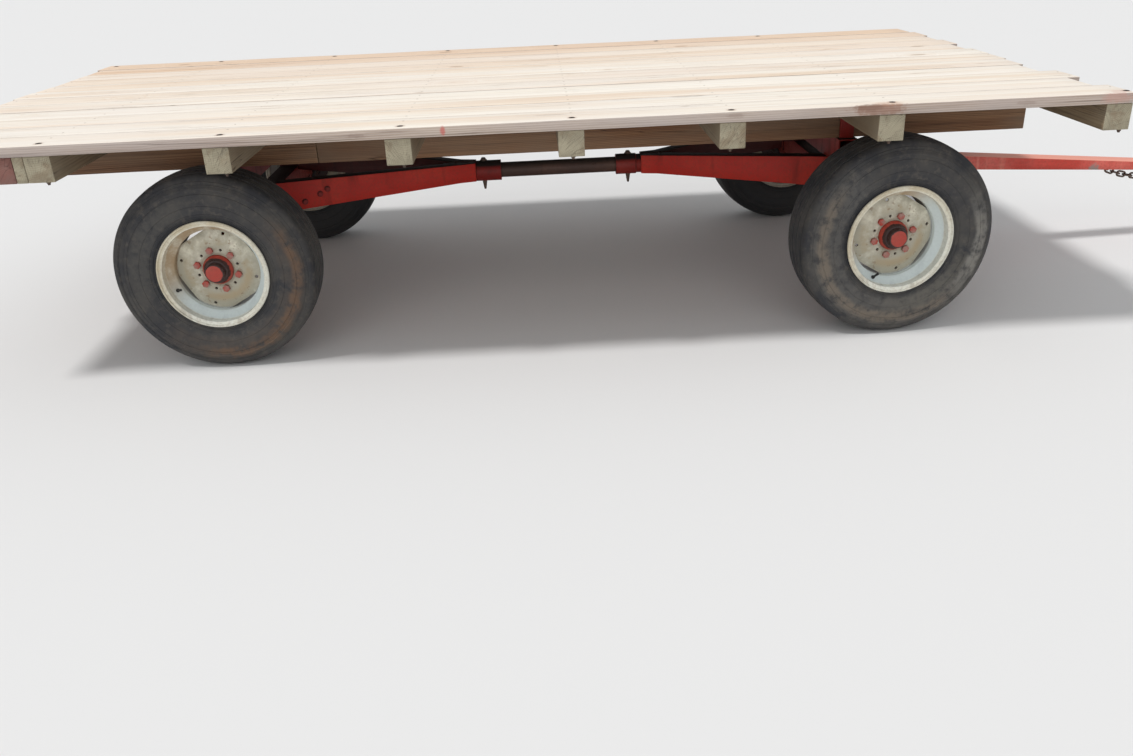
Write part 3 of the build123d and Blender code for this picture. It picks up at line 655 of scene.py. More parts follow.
def rimLayers(net, place, radius, depth, clock):
    blotch = net.noise(place, 11.0, 5.0, 0.6)
    ragged = net.plus(radius, net.times(net.minus(blotch, 0.5), 0.02))
    disc = net.ramp(radius, *rimLook["discEdge"])
    well = net.times(net.ramp(radius, *rimLook["wellEdge"]), net.ramp(radius, *reversed(rimLook["discEdge"])))
    upper = net.ramp(net.maths("COSINE", net.plus(clock, 0.7)), -0.2, 0.75)
    tanned = net.times(upper, net.ramp(blotch, 0.30, 0.60))
    stain = net.times(net.band(ragged, *rimLook["stain"]), net.ramp(blotch, 0.40, 0.66))
    chips = net.ramp(net.noise(place, 38.0, 5.0, 0.7), 0.60, 0.64)
    upperWellBrown = net.times(upper, net.ramp(blotch, 0.22, 0.54))
    return (
        ((0.50, 0.40, 0.24, 1), 0.6, net.times(net.ramp(radius, *rimLook["flangeEdge"]), tanned)),
        ((0.38, 0.355, 0.275, 1), 1.0, net.times(disc, net.ramp(blotch, 0.26, 0.56))),
        ((0.38, 0.27, 0.14, 1), 0.6, stain),
        ((0.20, 0.15, 0.10, 1), 0.55, net.times(net.band(ragged, *rimLook["hubRing"]), disc)),
        ((0.22, 0.14, 0.08, 1), 0.6, net.times(chips, disc)),
        # a darker brown tone on the upper part of the well
        ((0.34, 0.22, 0.11, 1), 0.85, net.times(well, upperWellBrown)),
        # painted light: the lower part of the well is made pale blue-white, as sky light on its upward faces would
        # make it
        ((0.58, 0.68, 0.70, 1), 0.75, net.times(well, net.minus(1.0, upper))),
        ((0.16, 0.11, 0.07, 1), 0.6, net.times(net.band(depth, *rimLook["foot"]), well)),
        ((0.13, 0.095, 0.065, 1), 0.6, net.ramp(depth, *rimLook["rearSide"])))


hubLook = {  # radii, and how far the disc's rear face lies from the wheel's middle
    "grease": (0.0305, 0.0490, 0.0012),
    "nuts": (0.0600, 0.0920),
    "discRear": (0.0338, 0.0308),
}


def hubLayers(net, place, radius, depth, clock):  # worn nuts, dark grease with painted shade in the recess round the cap, and painted shade behind the disc
    ragged = net.plus(radius, net.wobble(place, 60.0, 0.6, 0.008))
    worn = net.ramp(net.noise(place, 24.0, 5.0, 0.6), 0.40, 0.62)
    return (
        ((0.30, 0.20, 0.165, 1), 0.75, net.times(net.band(radius, *hubLook["nuts"]), worn)),
        # painted shade in the recess round the cap, over some grease
        ((0.014, 0.011, 0.010, 1), 0.93, net.band(ragged, *hubLook["grease"])),
        # painted shade behind the disc, so the holes between the nuts look dark
        ((0.018, 0.012, 0.010, 1), 0.92, net.ramp(depth, *hubLook["discRear"])))


tyreLook = {
    "black": (0.021, 0.022, 0.026, 1),
    "worn": (0.060, 0.056, 0.052, 1),
    "scuffs": (0.115, 0.098, 0.080, 1),
    "innerSide": (0.014, 0.014, 0.015, 1),
    "outside": (0.0, 0.03),  # metres from the wheel's middle
    "inside": (-0.06, -0.10),
    "bump": 0.0006,
}
tyreDirt = {  # inner and outer radius, middle and spread in degrees clockwise from the top, strength, colour
    "rear_right": [
        (0.245, 0.340, 140, 95, 0.5, (0.085, 0.066, 0.052, 1)),
        (0.286, 0.332, 125, 78, 0.75, (0.14, 0.080, 0.046, 1)),
        (0.225, 0.300, 300, 60, 0.45, (0.095, 0.088, 0.076, 1))],
    "front_right": [
        (0.225, 0.350, 225, 115, 0.55, (0.115, 0.108, 0.098, 1)),
        (0.280, 0.330, 222, 95, 0.7, (0.175, 0.140, 0.105, 1)),
        (0.228, 0.290, 140, 60, 0.5, (0.115, 0.105, 0.085, 1)),
        (0.280, 0.342, 98, 46, 0.85, (0.27, 0.255, 0.225, 1))],
    "rear_left": [(0.230, 0.345, 200, 105, 0.6, (0.13, 0.095, 0.066, 1))],
    "front_left": [(0.230, 0.345, 150, 110, 0.6, (0.13, 0.10, 0.072, 1))],
}


def tyreMaterial(corner):
    material, net, shader = newMaterial("tyreRubber." + corner)
    place, wheel = wheelPattern(net)
    fine = net.noise(place, 210.0, 4.0, 0.6)
    broad = net.noise(place, 7.0, 5.0, 0.62)
    scuffs = net.noise(place, 42.0, 6.0, 0.66)
    colour = net.mix(net.ramp(broad, 0.36, 0.66), tyreLook["black"], tyreLook["worn"])
    colour = net.mix(net.ramp(scuffs, 0.48, 0.76, 0.0, 0.5), colour, tyreLook["scuffs"])
    outside = net.ramp(wheel["Depth"], *tyreLook["outside"])
    for inner, outer, middle, spread, strength, tone in tyreDirt[corner]:
        mask = net.group(dirtBandGroup, {
            "Place": place, "Radius": wheel["Radius"], "Clock": wheel["Clock"], "Inner": inner,
            "Outer": outer, "Middle": math.radians(middle), "Spread": math.radians(spread)})["Mask"]
        colour = net.layer(colour, tone, net.times(mask, outside), strength)
    # painted shade: the tyre's inner side is darkened, as under the wagon
    colour = net.layer(colour, tyreLook["innerSide"], net.ramp(wheel["Depth"], *tyreLook["inside"]), 0.75)
    height = net.plus(net.times(fine, 0.5), scuffs)
    wireShader(net, shader, colour, net.ramp(broad, 0.3, 0.7, 0.70, 0.88), height, tyreLook["bump"])
    return material


materials = {
    "deck_wood": deckMaterial(),
    "sill_wood": timberMaterial("sillWood", "sill"),
    "stained_wood": timberMaterial("stainedWood", "stained"),
    "stringer_wood": timberMaterial("stringerWood", "stringer"),
    "gear_red": gearMaterial("gearRed", inner=0.7),
    "reach_steel": gearMaterial("reachSteel"),
    "pin_steel": gearMaterial("pinSteel"),
    "rim_cream": wheelPaint("rimCream", rimLayers),
}
pieceMaterials = {  # pieces whose paint differs from their slot's
    "tongue_bar": gearMaterial("tongueRed", spots=tonguePatches),
    "hitch_plates": gearMaterial("hitchRed"),
    "hub": wheelPaint("hubRed", hubLayers),
}
houndRed = gearMaterial("houndRed", inner=0.9)
for hound in ("hound_rear_left", "hound_rear_right", "hound_front_left", "hound_front_right"):
    pieceMaterials[hound] = houndRed
tyreMaterials = {corner: tyreMaterial(corner) for corner in tyreDirt}
print("materials ready")


# Timbers: each is a block cut along its length, with eased edges and a slightly uneven surface

timber = {
    "step": 0.11,  # metres between cuts along the grain
    "cutsAcross": 3,
    "cutEdges": 0.9,  # an edge at least this share of the block's length is cut
    "edgeRound": 0.0028,
    "roundSegments": 2,
    "roundAngle": 50,
    "smoothAngle": 40,
    "waveDepth": 0.0014,
    "waveSize": 0.22,
    "pithAlong": 9,
    "pithAside": 0.05,
    "pithBelow": (0.03, 0.11),
}
waveTexture = bpy.data.textures.new("timberWave", "CLOUDS")
waveTexture.noise_scale = timber["waveSize"]


def addVectors(piece, name, values):
    piece.data.attributes.new(name, "FLOAT_VECTOR", "POINT").data.foreach_set("vector", values)


def markGrain(piece, order, middle, size, draw):
    along = draw.uniform(-timber["pithAlong"], timber["pithAlong"])
    shift = (along, draw.uniform(-1, 1) * timber["pithAside"], draw.uniform(*timber["pithBelow"]))
    places, shares = [], []
    for vertex in piece.data.vertices:
        away = vertex.co - middle
        places += [away[axis] + shift[i] for i, axis in enumerate(order)]
        # Metres to the nearer end, then shares of half a side
        shares += [size[order[0]] / 2 - abs(away[order[0]])]
        shares += [away[axis] / size[axis] * 2 for axis in order[1:]]
    addVectors(piece, "grainPlace", places)
    addVectors(piece, "boardShare", shares)


def makeTimber(name, low, high, draw, edgeRound=timber["edgeRound"], wave=timber["waveDepth"]):
    size, middle = high - low, (low + high) / 2
    bpy.ops.mesh.primitive_cube_add(size=1, location=middle, scale=size)
    piece = bpy.context.object
    piece.name = name
    bpy.ops.object.transform_apply(location=True, rotation=True, scale=True)
    order = sorted(range(3), key=lambda axis: -size[axis])
    for axis, cuts in ((order[0], round(size[order[0]] / timber["step"])), (order[1], timber["cutsAcross"])):
        pickEdges(piece, lambda a, b: abs(a[axis] - b[axis]) > size[axis] * timber["cutEdges"])
        editPiece(piece, "EDGE")
        bpy.ops.mesh.subdivide(number_cuts=cuts)
        leaveEdit()
    roundEdges(piece, edgeRound, timber["roundSegments"], timber["roundAngle"])
    applyModifier(piece, "DISPLACE", texture=waveTexture, texture_coords="LOCAL", mid_level=1.0,
                  strength=wave)
    markGrain(piece, order, middle, size, draw)
    return piece


def finishTimbers(blocks, name, node):
    whole = joinPieces(blocks, name)
    smoothByAngle(whole, timber["smoothAngle"])
    finishPiece(whole, materials[slotOf[node]], node)


deck = {
    "seed": 31,
    "edgeRound": 0.0032,
    "wave": 0.0022,
    "sink": (0.0, 0.0018),  # metres a board may lie below its neighbours
    # Shares of the warm tint, from the near board to the far one
    "tints": (0.05, 0.0, 0.12, 0.0, 0.1, 0.25, 0.05, 0.2, 0.45, 0.3, 0.75, 0.95),
    "drop": 0.0016,  # metres that every board lies lower besides, to leave room for the bolt heads
}


def makeDeck():
    draw = random.Random(deck["seed"])
    boards = []
    for i, (low, high) in enumerate(sorted(solidBoxes("deck_planks"), key=lambda box: box[0].y)):
        top = high - up * (draw.uniform(*deck["sink"]) + deck["drop"])
        board = makeTimber("deckBoard", low, top, draw, deck["edgeRound"], deck["wave"])
        tint = board.data.attributes.new("boardTint", "FLOAT", "POINT")
        tint.data.foreach_set("value", [deck["tints"][i]] * len(board.data.vertices))
        boards.append(board)
    finishTimbers(boards, "deckBoards", "deck_planks")


timberPieces = {  # each piece's name and seed
    "cross_sills": ("sillTimbers", 11),
    "sill_spacer": ("sillSpacer", 12),
    "stained_sill": ("stainedTimber", 13),
    "stringer_left": ("stringerLeft", 14),
    "stringer_right": ("stringerRight", 15),
}


def makeTimbers():
    for node, (name, seed) in timberPieces.items():
        draw = random.Random(seed)
        blocks = [makeTimber(name + "Block", low, high, draw) for low, high in solidBoxes(node)]
        finishTimbers(blocks, name, node)


makeDeck()
makeTimbers()
print("deck and timbers made")


# Wheels stand upright about +Y at the origin, outside towards +Y, before they go to a corner

corners = ("front_left", "front_right", "rear_left", "rear_right")


def wheelMatrix(corner):
    low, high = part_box("tyre_" + corner)
    axis = Vector(joints["spin_" + corner]["axis"])
    outward = axis if corner.endswith("left") else -axis
    return Matrix.Translation((low + high) / 2) @ Matrix.Rotation(math.atan2(-outward.x, outward.y), 4, "Z")


def markWheel(piece, matrix):
    inverse = matrix.inverted()
    places = []
    for vertex in piece.data.vertices:
        places += (inverse @ vertex.co)[:]
    addVectors(piece, "wheelPlace", places)


tyre = {
    "steps": 216,
    "beadRadius": 0.1900,
    "beadHalf": 0.1010,
    "beadWidth": 0.0220,
    "flangeRadius": 0.2090,
    "bulgeRadius": 0.2850,
    "shoulderRadius": 0.3520,
    "shoulderHalf": 0.0990,
    "shoulderBend": (0.0050, 0.0100),  # metres inwards from the tread's edge and from the shoulder
    "shoulderPoints": 5,
    "crownHalf": 0.0760,
    "crownDrop": 0.0040,
    "wall": 0.0140,
    "treadWall": 0.0200,
    "cavityPoints": 8,
    "ribs": 5,
    "ribbedShare": 0.80,  # of the crown's width
    "grooveWidth": 0.0085,
    "grooveDepth": 0.0075,
    "grooveTaper": 0.0014,
    "wallPoints": 26,
    "ringClear": 1.4,  # plain points stay this many half widths away from a ring
    "smoothAngle": 30,
    # Raised bands and, with a height below zero, grooves: radius, height, half width
    "rings": ((0.2180, 0.0018, 0.0032), (0.2290, 0.0012, 0.0020), (0.2620, -0.0010, 0.0016),
              (0.3050, -0.0014, 0.0022), (0.3240, 0.0022, 0.0060), (0.3370, -0.0016, 0.0020),
              (0.3450, 0.0016, 0.0026)),
}


def circleThrough(start, middle, end):
    (ax, ay), (bx, by), (cx, cy) = start, middle, end
    span = 2 * (ax * (by - cy) + bx * (cy - ay) + cx * (ay - by))
    squares = [x * x + y * y for x, y in (start, middle, end)]
    ux = (squares[0] * (by - cy) + squares[1] * (cy - ay) + squares[2] * (ay - by)) / span
    uy = (squares[0] * (cx - bx) + squares[1] * (ax - cx) + squares[2] * (bx - ax)) / span
    return ux, uy, math.hypot(ax - ux, ay - uy)


def arcThrough(start, middle, end, count):
    ux, uy, radius = circleThrough(start, middle, end)
    first, through, last = (math.atan2(y - uy, x - ux) for x, y in (start, middle, end))
    full = 2 * math.pi
    sweep = (last - first) % full
    if (through - first) % full > sweep:
        sweep -= full
    turns = [first + sweep * i / count for i in range(count + 1)]
    return [(ux + radius * math.cos(turn), uy + radius * math.sin(turn)) for turn in turns]


def wallProfile(bulgeHalf):
    first, last = tyre["flangeRadius"], tyre["shoulderRadius"]
    ux, uy, wallRadius = circleThrough((first, tyre["beadHalf"]), (tyre["bulgeRadius"], bulgeHalf),
                                       (last, tyre["shoulderHalf"]))
    stops = [first + (last - first) * i / tyre["wallPoints"] for i in range(tyre["wallPoints"] + 1)]
    for ringRadius, height, halfWidth in tyre["rings"]:
        clear = halfWidth * tyre["ringClear"]
        stops = [r for r in stops if abs(r - ringRadius) > clear or r in (first, last)]
        stops += [ringRadius + halfWidth * share for share in (-1.0, -0.5, 0.5, 1.0)]
    side = [(tyre["beadRadius"], tyre["beadHalf"])]
    for radius in sorted(stops):
        lift = 0.0
        for ringRadius, height, halfWidth in tyre["rings"]:
            lift += height * min(1.0, max(0.0, 2.0 - 2.0 * abs(radius - ringRadius) / halfWidth))
        wall = uy + math.sqrt(wallRadius ** 2 - (radius - ux) ** 2)
        side.append((radius, min(wall + lift, bulgeHalf)))
    return side


def treadProfile(outerRadius):
    grooves = tyre["ribs"] - 1
    treadHalf = tyre["crownHalf"] * tyre["ribbedShare"]
    tread = []
    for i in range(grooves):
        spot = treadHalf - treadHalf * 2 * i / (grooves - 1)
        for offset, sunk in ((0.5, 0), (0.5, 1), (-0.5, 1), (-0.5, 0)):
            y = spot + offset * tyre["grooveWidth"] - sunk * math.copysign(tyre["grooveTaper"], offset)
            crown = outerRadius - tyre["crownDrop"] * (y / tyre["crownHalf"]) ** 2
            tread.append((crown - sunk * tyre["grooveDepth"], y))
    return tread


def mirrored(points):
    return [(radius, -y) for radius, y in reversed(points)]


# The outline goes from the outer bead over the tread and back inside: radius and place along the axle
def tyreProfile(outerRadius, bulgeHalf):
    crownEdge = outerRadius - tyre["crownDrop"]
    fromTread, fromSide = tyre["shoulderBend"]
    bend = (crownEdge - fromTread, tyre["shoulderHalf"] - fromSide)
    side = wallProfile(bulgeHalf)
    side += arcThrough((tyre["shoulderRadius"], tyre["shoulderHalf"]), bend, (crownEdge, tyre["crownHalf"]),
                       tyre["shoulderPoints"])[1:]
    cavity = arcThrough((tyre["beadRadius"], tyre["beadWidth"] - tyre["beadHalf"]),
                        (tyre["bulgeRadius"], tyre["wall"] - bulgeHalf),
                        (outerRadius - tyre["treadWall"], -tyre["crownHalf"]), tyre["cavityPoints"])
    return side + treadProfile(outerRadius) + mirrored(side) + cavity + mirrored(cavity)


def drawProfile(points, name):  # extrudes one vertex from point to point in the XY plane and closes the loop
    bpy.ops.mesh.primitive_plane_add(size=0.01)
    piece = bpy.context.object
    piece.name = name
    editAll(piece)
    bpy.ops.mesh.merge(type="CENTER")
    here = Vector((*points[0], 0))
    bpy.ops.transform.translate(value=here)
    for point in points[1:] + points[:1]:
        there = Vector((*point, 0))
        bpy.ops.mesh.extrude_vertices_move(TRANSFORM_OT_translate={"value": there - here})
        here = there
    bpy.ops.mesh.select_all(action="SELECT")
    bpy.ops.mesh.remove_doubles(threshold=mesh["merge"])
    return piece


def spinProfile(piece, steps):
    bpy.ops.mesh.select_all(action="SELECT")
    bpy.ops.mesh.spin(steps=steps, angle=2 * math.pi, center=(0, 0, 0), axis=(0, 1, 0))
    bpy.ops.mesh.select_all(action="SELECT")
    bpy.ops.mesh.remove_doubles(threshold=mesh["merge"])
    bpy.ops.mesh.normals_make_consistent(inside=False)
    leaveEdit()


def makeTyres():
    low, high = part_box("tyre_rear_left")
    master = drawProfile(tyreProfile((high.z - low.z) / 2, (high.y - low.y) / 2), "tyreMaster")
    spinProfile(master, tyre["steps"])
    for corner in corners:
        matrix = wheelMatrix(corner)
        copy = placedCopy(master, "tyreBody." + corner, matrix)
        markWheel(copy, matrix)
        smoothByAngle(copy, tyre["smoothAngle"])
        finishPiece(copy, tyreMaterials[corner], "tyre_" + corner)
    bpy.data.objects.remove(master)


steel = {"edgeRound": 0.0014, "edgeSegments": 2, "edgeAngle": 32, "smoothAngle": 30}


def softenedSteel(node, name):
    piece = mergedCopy(node, name)
    roundEdges(piece, steel["edgeRound"], steel["edgeSegments"], steel["edgeAngle"])
    smoothByAngle(piece, steel["smoothAngle"])
    return piece


def makeWheelSteel():
    for corner in corners:
        matrix = wheelMatrix(corner)
        for kind, name, material in (("rim_", "rimSteel.", materials["rim_cream"]),
                                     ("hub_", "hubSteel.", pieceMaterials["hub"])):
            piece = softenedSteel(kind + corner, name + corner)
            markWheel(piece, matrix)
            finishPiece(piece, material, kind + corner)


def makeGear():
    timberNodes = {"deck_planks", *timberPieces}
    wheelNodes = {kind + corner for kind in ("tyre_", "rim_", "hub_") for corner in corners}
    for node in sorted(set(nodes) - timberNodes - wheelNodes):
        words = node.split("_")
        piece = softenedSteel(node, words[0] + "".join(word.capitalize() for word in words[1:]) + "Steel")
        finishPiece(piece, pieceMaterials.get(node) or materials[slotOf[node]], node)


makeTyres()
makeWheelSteel()
makeGear()
print("tyres, rims, hubs and running gear made")


# Small parts: each kind is made once, standing on +Z at the origin, and copied to its places

outlines = {  # steps round, then radius and height from the middle of the foot to the middle of the top
    "carriageHead": (20, ((0, -0.0030), (0.0115, -0.0030), (0.0115, -0.0006), (0.0098, 0.0008),
                          (0.0060, 0.0017), (0, 0.0020))),
    "nailHead": (8, ((0, -0.0020), (0.0042, -0.0020), (0.0042, 0.0002), (0.0030, 0.0005), (0, 0.0006))),
    "washer": (20, ((0, -0.0010), (0.0130, -0.0010), (0.0130, 0.0016), (0.0124, 0.0020), (0, 0.0020))),
    "boltEnd": (12, ((0, 0.0080), (0.0047, 0.0080), (0.0047, 0.0145), (0.0040, 0.0153), (0, 0.0153))),
    "valve": (14, ((0, -0.0030), (0.0075, -0.0030), (0.0070, 0.0040), (0.0042, 0.0100), (0.0040, 0.0215),
                   (0.0047, 0.0220), (0.0047, 0.0310), (0.0036, 0.0330), (0, 0.0330))),
    "greaseFitting": (12, ((0, -0.0010), (0.0048, -0.0010), (0.0048, 0.0040), (0.0030, 0.0050),
                           (0.0022, 0.0080), (0.0032, 0.0095), (0.0026, 0.0120), (0, 0.0125))),
}
hexagons = {  # across the flats, foot and top
    "nut": (0.0143, 0.0015, 0.0095),
    "head": (0.0190, 0.0015, 0.0090),
}
smallParts = {"turnedSmooth": 35, "hexRound": 0.0010, "hexAngle": 30}


def turnedPart(name):
    steps, points = outlines[name]
    piece = drawProfile(list(points), name)
    spinProfile(piece, steps)
    editAll(piece)
    bpy.ops.mesh.delete_loose(use_verts=True, use_edges=True, use_faces=False)
    leaveEdit()
    piece.data.transform(Matrix.Rotation(math.pi / 2, 4, "X"))
    smoothByAngle(piece, smallParts["turnedSmooth"])
    return piece


def hexPart(name):
    acrossFlats, low, high = hexagons[name]
    bpy.ops.mesh.primitive_cylinder_add(vertices=6, radius=acrossFlats / math.sqrt(3), depth=high - low,
                                        location=(0, 0, (low + high) / 2))
    piece = bpy.context.object
    piece.name = name
    bpy.ops.object.transform_apply(location=True, rotation=True, scale=True)
    roundEdges(piece, smallParts["hexRound"], 1, smallParts["hexAngle"])
    return piece


def seat(place, way):
    return Matrix.Translation(place) @ up.rotation_difference(Vector(way)).to_matrix().to_4x4()


def surfaceAt(piece, start, way):  # the place and normal where a line from start first meets a finished piece
    found, place, normal, index = bpy.data.objects[piece].ray_cast(Vector(start), Vector(way))
    if not found:
        raise ValueError("a line from " + str(start) + " misses " + piece)
    return place, normal


def stamp(master, name, matrices):
    return joinPieces([placedCopy(master, name, matrix) for matrix in matrices], name)


def steelDetail(piece, body="root"):
    addDetail(piece, materials["pin_steel"], body)


tongueLine = {
    "from": 0.8296,  # metres along, where the head turns
    "heading": 5.0,  # degrees to the left
}
fasteners = {  # metres
    "nailsFromMiddle": 0.045,
    "nailsFromEnd": 0.018,
    "sillReach": 0.040,  # a board that ends further than this from a sill's middle has no nails there
    "houndBolts": ((-1.5099, 0.5118), (-1.4811, 0.5276), (-1.5698, 0.4892)),  # along and up
    "hitchBolts": (2.580, 2.628),  # along, over the lap of the hitch plates
    "greaseFittings": ((0.7096, -0.611, 0.506), (0.7096, 0.611, 0.506), (0.8296, 0.0, 0.483)),
    "overDeck": 1.2,  # the lines that find a surface start at these heights or sides
    "underSills": 0.5,
    "besideHounds": 0.8,
    "roundHitch": (0.6, 0.1),
}


def tongueAside(x):  # how far the tongue's middle line lies to the left
    return (x - tongueLine["from"]) * math.tan(math.radians(tongueLine["heading"]))


def overBoard(x, y, boards):
    edge = boltPlaces["headRadius"]
    return any(low.x + edge < x < high.x - edge and low.y < y < high.y for low, high in boards)


def onDeck(x, y):
    return seat(surfaceAt("deckBoards", (x, y, fasteners["overDeck"]), down)[0], up)


def boltSeats(boards):
    heads, ends = [], []
    for x in boltPlaces["along"]:
        for y in (-boltPlaces["fromMiddle"], boltPlaces["fromMiddle"]):
            if overBoard(x, y, boards):
                heads.append(onDeck(x, y))
                ends.append(seat(surfaceAt("sillTimbers", (x, y, fasteners["underSills"]), up)[0], down))
    return heads, ends


def nailSeats(boards):
    nails = []
    for low, high in boards:
        for along in boltPlaces["along"]:
            x = min(max(along, low.x + fasteners["nailsFromEnd"]), high.x - fasteners["nailsFromEnd"])
            for offset in (-fasteners["nailsFromMiddle"], fasteners["nailsFromMiddle"]):
                if abs(x - along) < fasteners["sillReach"]:
                    nails.append(onDeck(x, (low.y + high.y) / 2 + offset))
    return nails


def houndSeats():
    bolts = []
    for x, z in fasteners["houndBolts"]:
        for side, piece in ((-1, "houndRearRightSteel"), (1, "houndRearLeftSteel")):
            start = (x, side * fasteners["besideHounds"], z)
            bolts.append(seat(*surfaceAt(piece, start, (0, -side, 0))))
    return bolts


def hitchSeats():
    bolts = []
    for x in fasteners["hitchBolts"]:
        for z, way in zip(fasteners["roundHitch"], (down, up)):
            bolts.append(seat(*surfaceAt("hitchPlatesSteel", (x, tongueAside(x), z), way)))
    return bolts


def makeFasteners():
    boards = solidBoxes("deck_planks")
    heads, ends = boltSeats(boards)
    nails, bolts, hitch = nailSeats(boards), houndSeats(), hitchSeats()
    carriageHead, nailHead = turnedPart("carriageHead"), turnedPart("nailHead")
    fitting = turnedPart("greaseFitting")
    lowEnd = joinPieces([turnedPart("washer"), hexPart("nut"), turnedPart("boltEnd")], "lowEnd")
    hexBolt = joinPieces([turnedPart("washer"), hexPart("head")], "hexBolt")
    steelDetail(stamp(carriageHead, "deckBoltHeads", heads))
    steelDetail(stamp(lowEnd, "deckBoltEnds", ends))
    addDetail(stamp(nailHead, "deckNails", nails), gearMaterial("nailZinc"), "root")
    addDetail(stamp(hexBolt, "houndBolts", bolts), materials["gear_red"], "root")
    steelDetail(stamp(hexBolt, "hitchBolts", hitch), "tongue")
    steelDetail(stamp(fitting, "greaseFittings", [seat(place, up) for place in fasteners["greaseFittings"]]))
    for master in (carriageHead, nailHead, fitting, lowEnd, hexBolt):
        bpy.data.objects.remove(master)


valves = {
    # Degrees from the top
    "clock": {"front_right": 206, "rear_right": 247, "front_left": 120, "rear_left": 30},
    "radius": 0.171,
    "depth": 0.063,
    "lean": 45,  # degrees from the axle towards the middle
}


def makeValves():
    master = turnedPart("valve")
    rubber = gearMaterial("valveRubber")
    lean = math.radians(valves["lean"])
    for corner in corners:
        clock = math.radians(valves["clock"][corner])
        outward = Vector((-math.sin(clock), 0, math.cos(clock)))
        way = Vector((0, math.cos(lean), 0)) - outward * math.sin(lean)
        place = outward * valves["radius"] + Vector((0, valves["depth"], 0))
        piece = placedCopy(master, "valve." + corner, wheelMatrix(corner) @ seat(place, way))
        addDetail(piece, rubber, "wheel_" + corner)
    bpy.data.objects.remove(master)


chain = {
    "links": 12,
    "ring": 0.0115,
    "wire": 0.0045,
    "ringSteps": 20,
    "wireSteps": 10,
    "stretch": 0.0100,
    "middle": 0.0001,  # points nearer a link's middle than this stay where they are
    "smoothAngle": 60,
    "pitch": 0.0336,
    "start": 2.050,
    "end": 2.435,
    "sag": 0.042,
    "sunk": 0.004,  # metres the end links lie above the tongue's underside
    "under": 0.05,  # the height from which that underside is looked for
    "samples": 400,  # places along the bow from which the links pick theirs
}


def makeLink():
    bpy.ops.mesh.primitive_torus_add(major_radius=chain["ring"], minor_radius=chain["wire"],
                                     major_segments=chain["ringSteps"], minor_segments=chain["wireSteps"])
    link = bpy.context.object
    for side in (-1, 1):
        clearPicks(link)
        for vertex in link.data.vertices:
            vertex.select = vertex.co.x * side > chain["middle"]
        editPiece(link)
        bpy.ops.transform.translate(value=(side * chain["stretch"], 0, 0))
        leaveEdit()
    smoothByAngle(link, chain["smoothAngle"])
    return link


def makeChain():  # hangs in a bow between two places on the tongue's underside
    ends = []
    for x in (chain["start"], chain["end"]):
        place = surfaceAt("tongueBarSteel", (x, tongueAside(x), chain["under"]), up)[0]
        ends.append(place + up * chain["sunk"])
    count = chain["samples"]
    bow = []
    for i in range(count + 1):
        share = i / count
        bow.append(ends[0].lerp(ends[1], share) + down * chain["sag"] * (1 - (2 * share - 1) ** 2))
    lengths = [0.0]
    for before, after in zip(bow, bow[1:]):
        lengths.append(lengths[-1] + (after - before).length)
    begin = (lengths[-1] - chain["pitch"] * (chain["links"] - 1)) / 2
    matrices = []
    for order in range(chain["links"]):
        wanted = begin + order * chain["pitch"]
        reached = next((k for k, length in enumerate(lengths) if length >= wanted), count - 1)
        i = max(1, min(count - 1, reached))
        along = (bow[i + 1] - bow[i - 1]).normalized()
        aside = along.cross(up).normalized()
        if order % 2:
            aside = along.cross(aside)
        turned = Matrix((along, aside, along.cross(aside))).transposed().to_4x4()
        matrices.append(Matrix.Translation(bow[i]) @ turned)
    link = makeLink()
    steelDetail(stamp(link, "tongueChain", matrices), "tongue")
    bpy.data.objects.remove(link)


weld = {
    "seed": 21,
    "bead": 0.0032,
    "beadSteps": (8, 5),
    "beadHeight": 0.85,
    "smoothAngle": 80,
    "pitch": 0.0050,
    "unevenness": 0.16,
    "sleeveMiddle": 0.498,
    "sleeveRadius": 0.0422,
    "sleeveRings": (-0.8739, -0.1594),
    "noseLines": ((-0.958, -0.880), (-0.133, -0.054)),  # from and to, metres along
    "noseAside": 0.0165,
    "noseUp": 0.0380,
    "postLines": ((-1.844, -1.776), (0.676, 0.743)),
    "postSides": (0.4088, 0.5012),
    "postLevels": (0.4765, 0.5745),
    "discRadius": 0.1562,
    "discDepth": 0.0262,
    "lobeHalf": 21.0,  # degrees
    "lobesTurned": {"front_right": 13, "rear_right": -16, "front_left": 40, "rear_left": 25},
    "spindleRadius": 0.0335,
    "spindleDepth": -0.1390,
}


def lineOfBeads(start, end, y, z):
    start, end = Vector((start, y, z)), Vector((end, y, z))
    count = max(1, round((end - start).length / weld["pitch"]))
    return [start.lerp(end, i / count) for i in range(count + 1)]


def arcOfBeads(centre, first, second, radius, low=0, high=360):  # degrees from first towards second
    count = max(1, round(radius * math.radians(high - low) / weld["pitch"]))
    turns = [math.radians(low + (high - low) * i / count) for i in range(count)]
    return [Vector(centre) + (first * math.cos(turn) + second * math.sin(turn)) * radius for turn in turns]


def makeBead():
    segments, rings = weld["beadSteps"]
    bpy.ops.mesh.primitive_uv_sphere_add(segments=segments, ring_count=rings, radius=weld["bead"])
    bead = bpy.context.object
    editAll(bead)
    bpy.ops.transform.resize(value=(1.0, 1.0, weld["beadHeight"]))
    leaveEdit()
    smoothByAngle(bead, weld["smoothAngle"])
    return bead


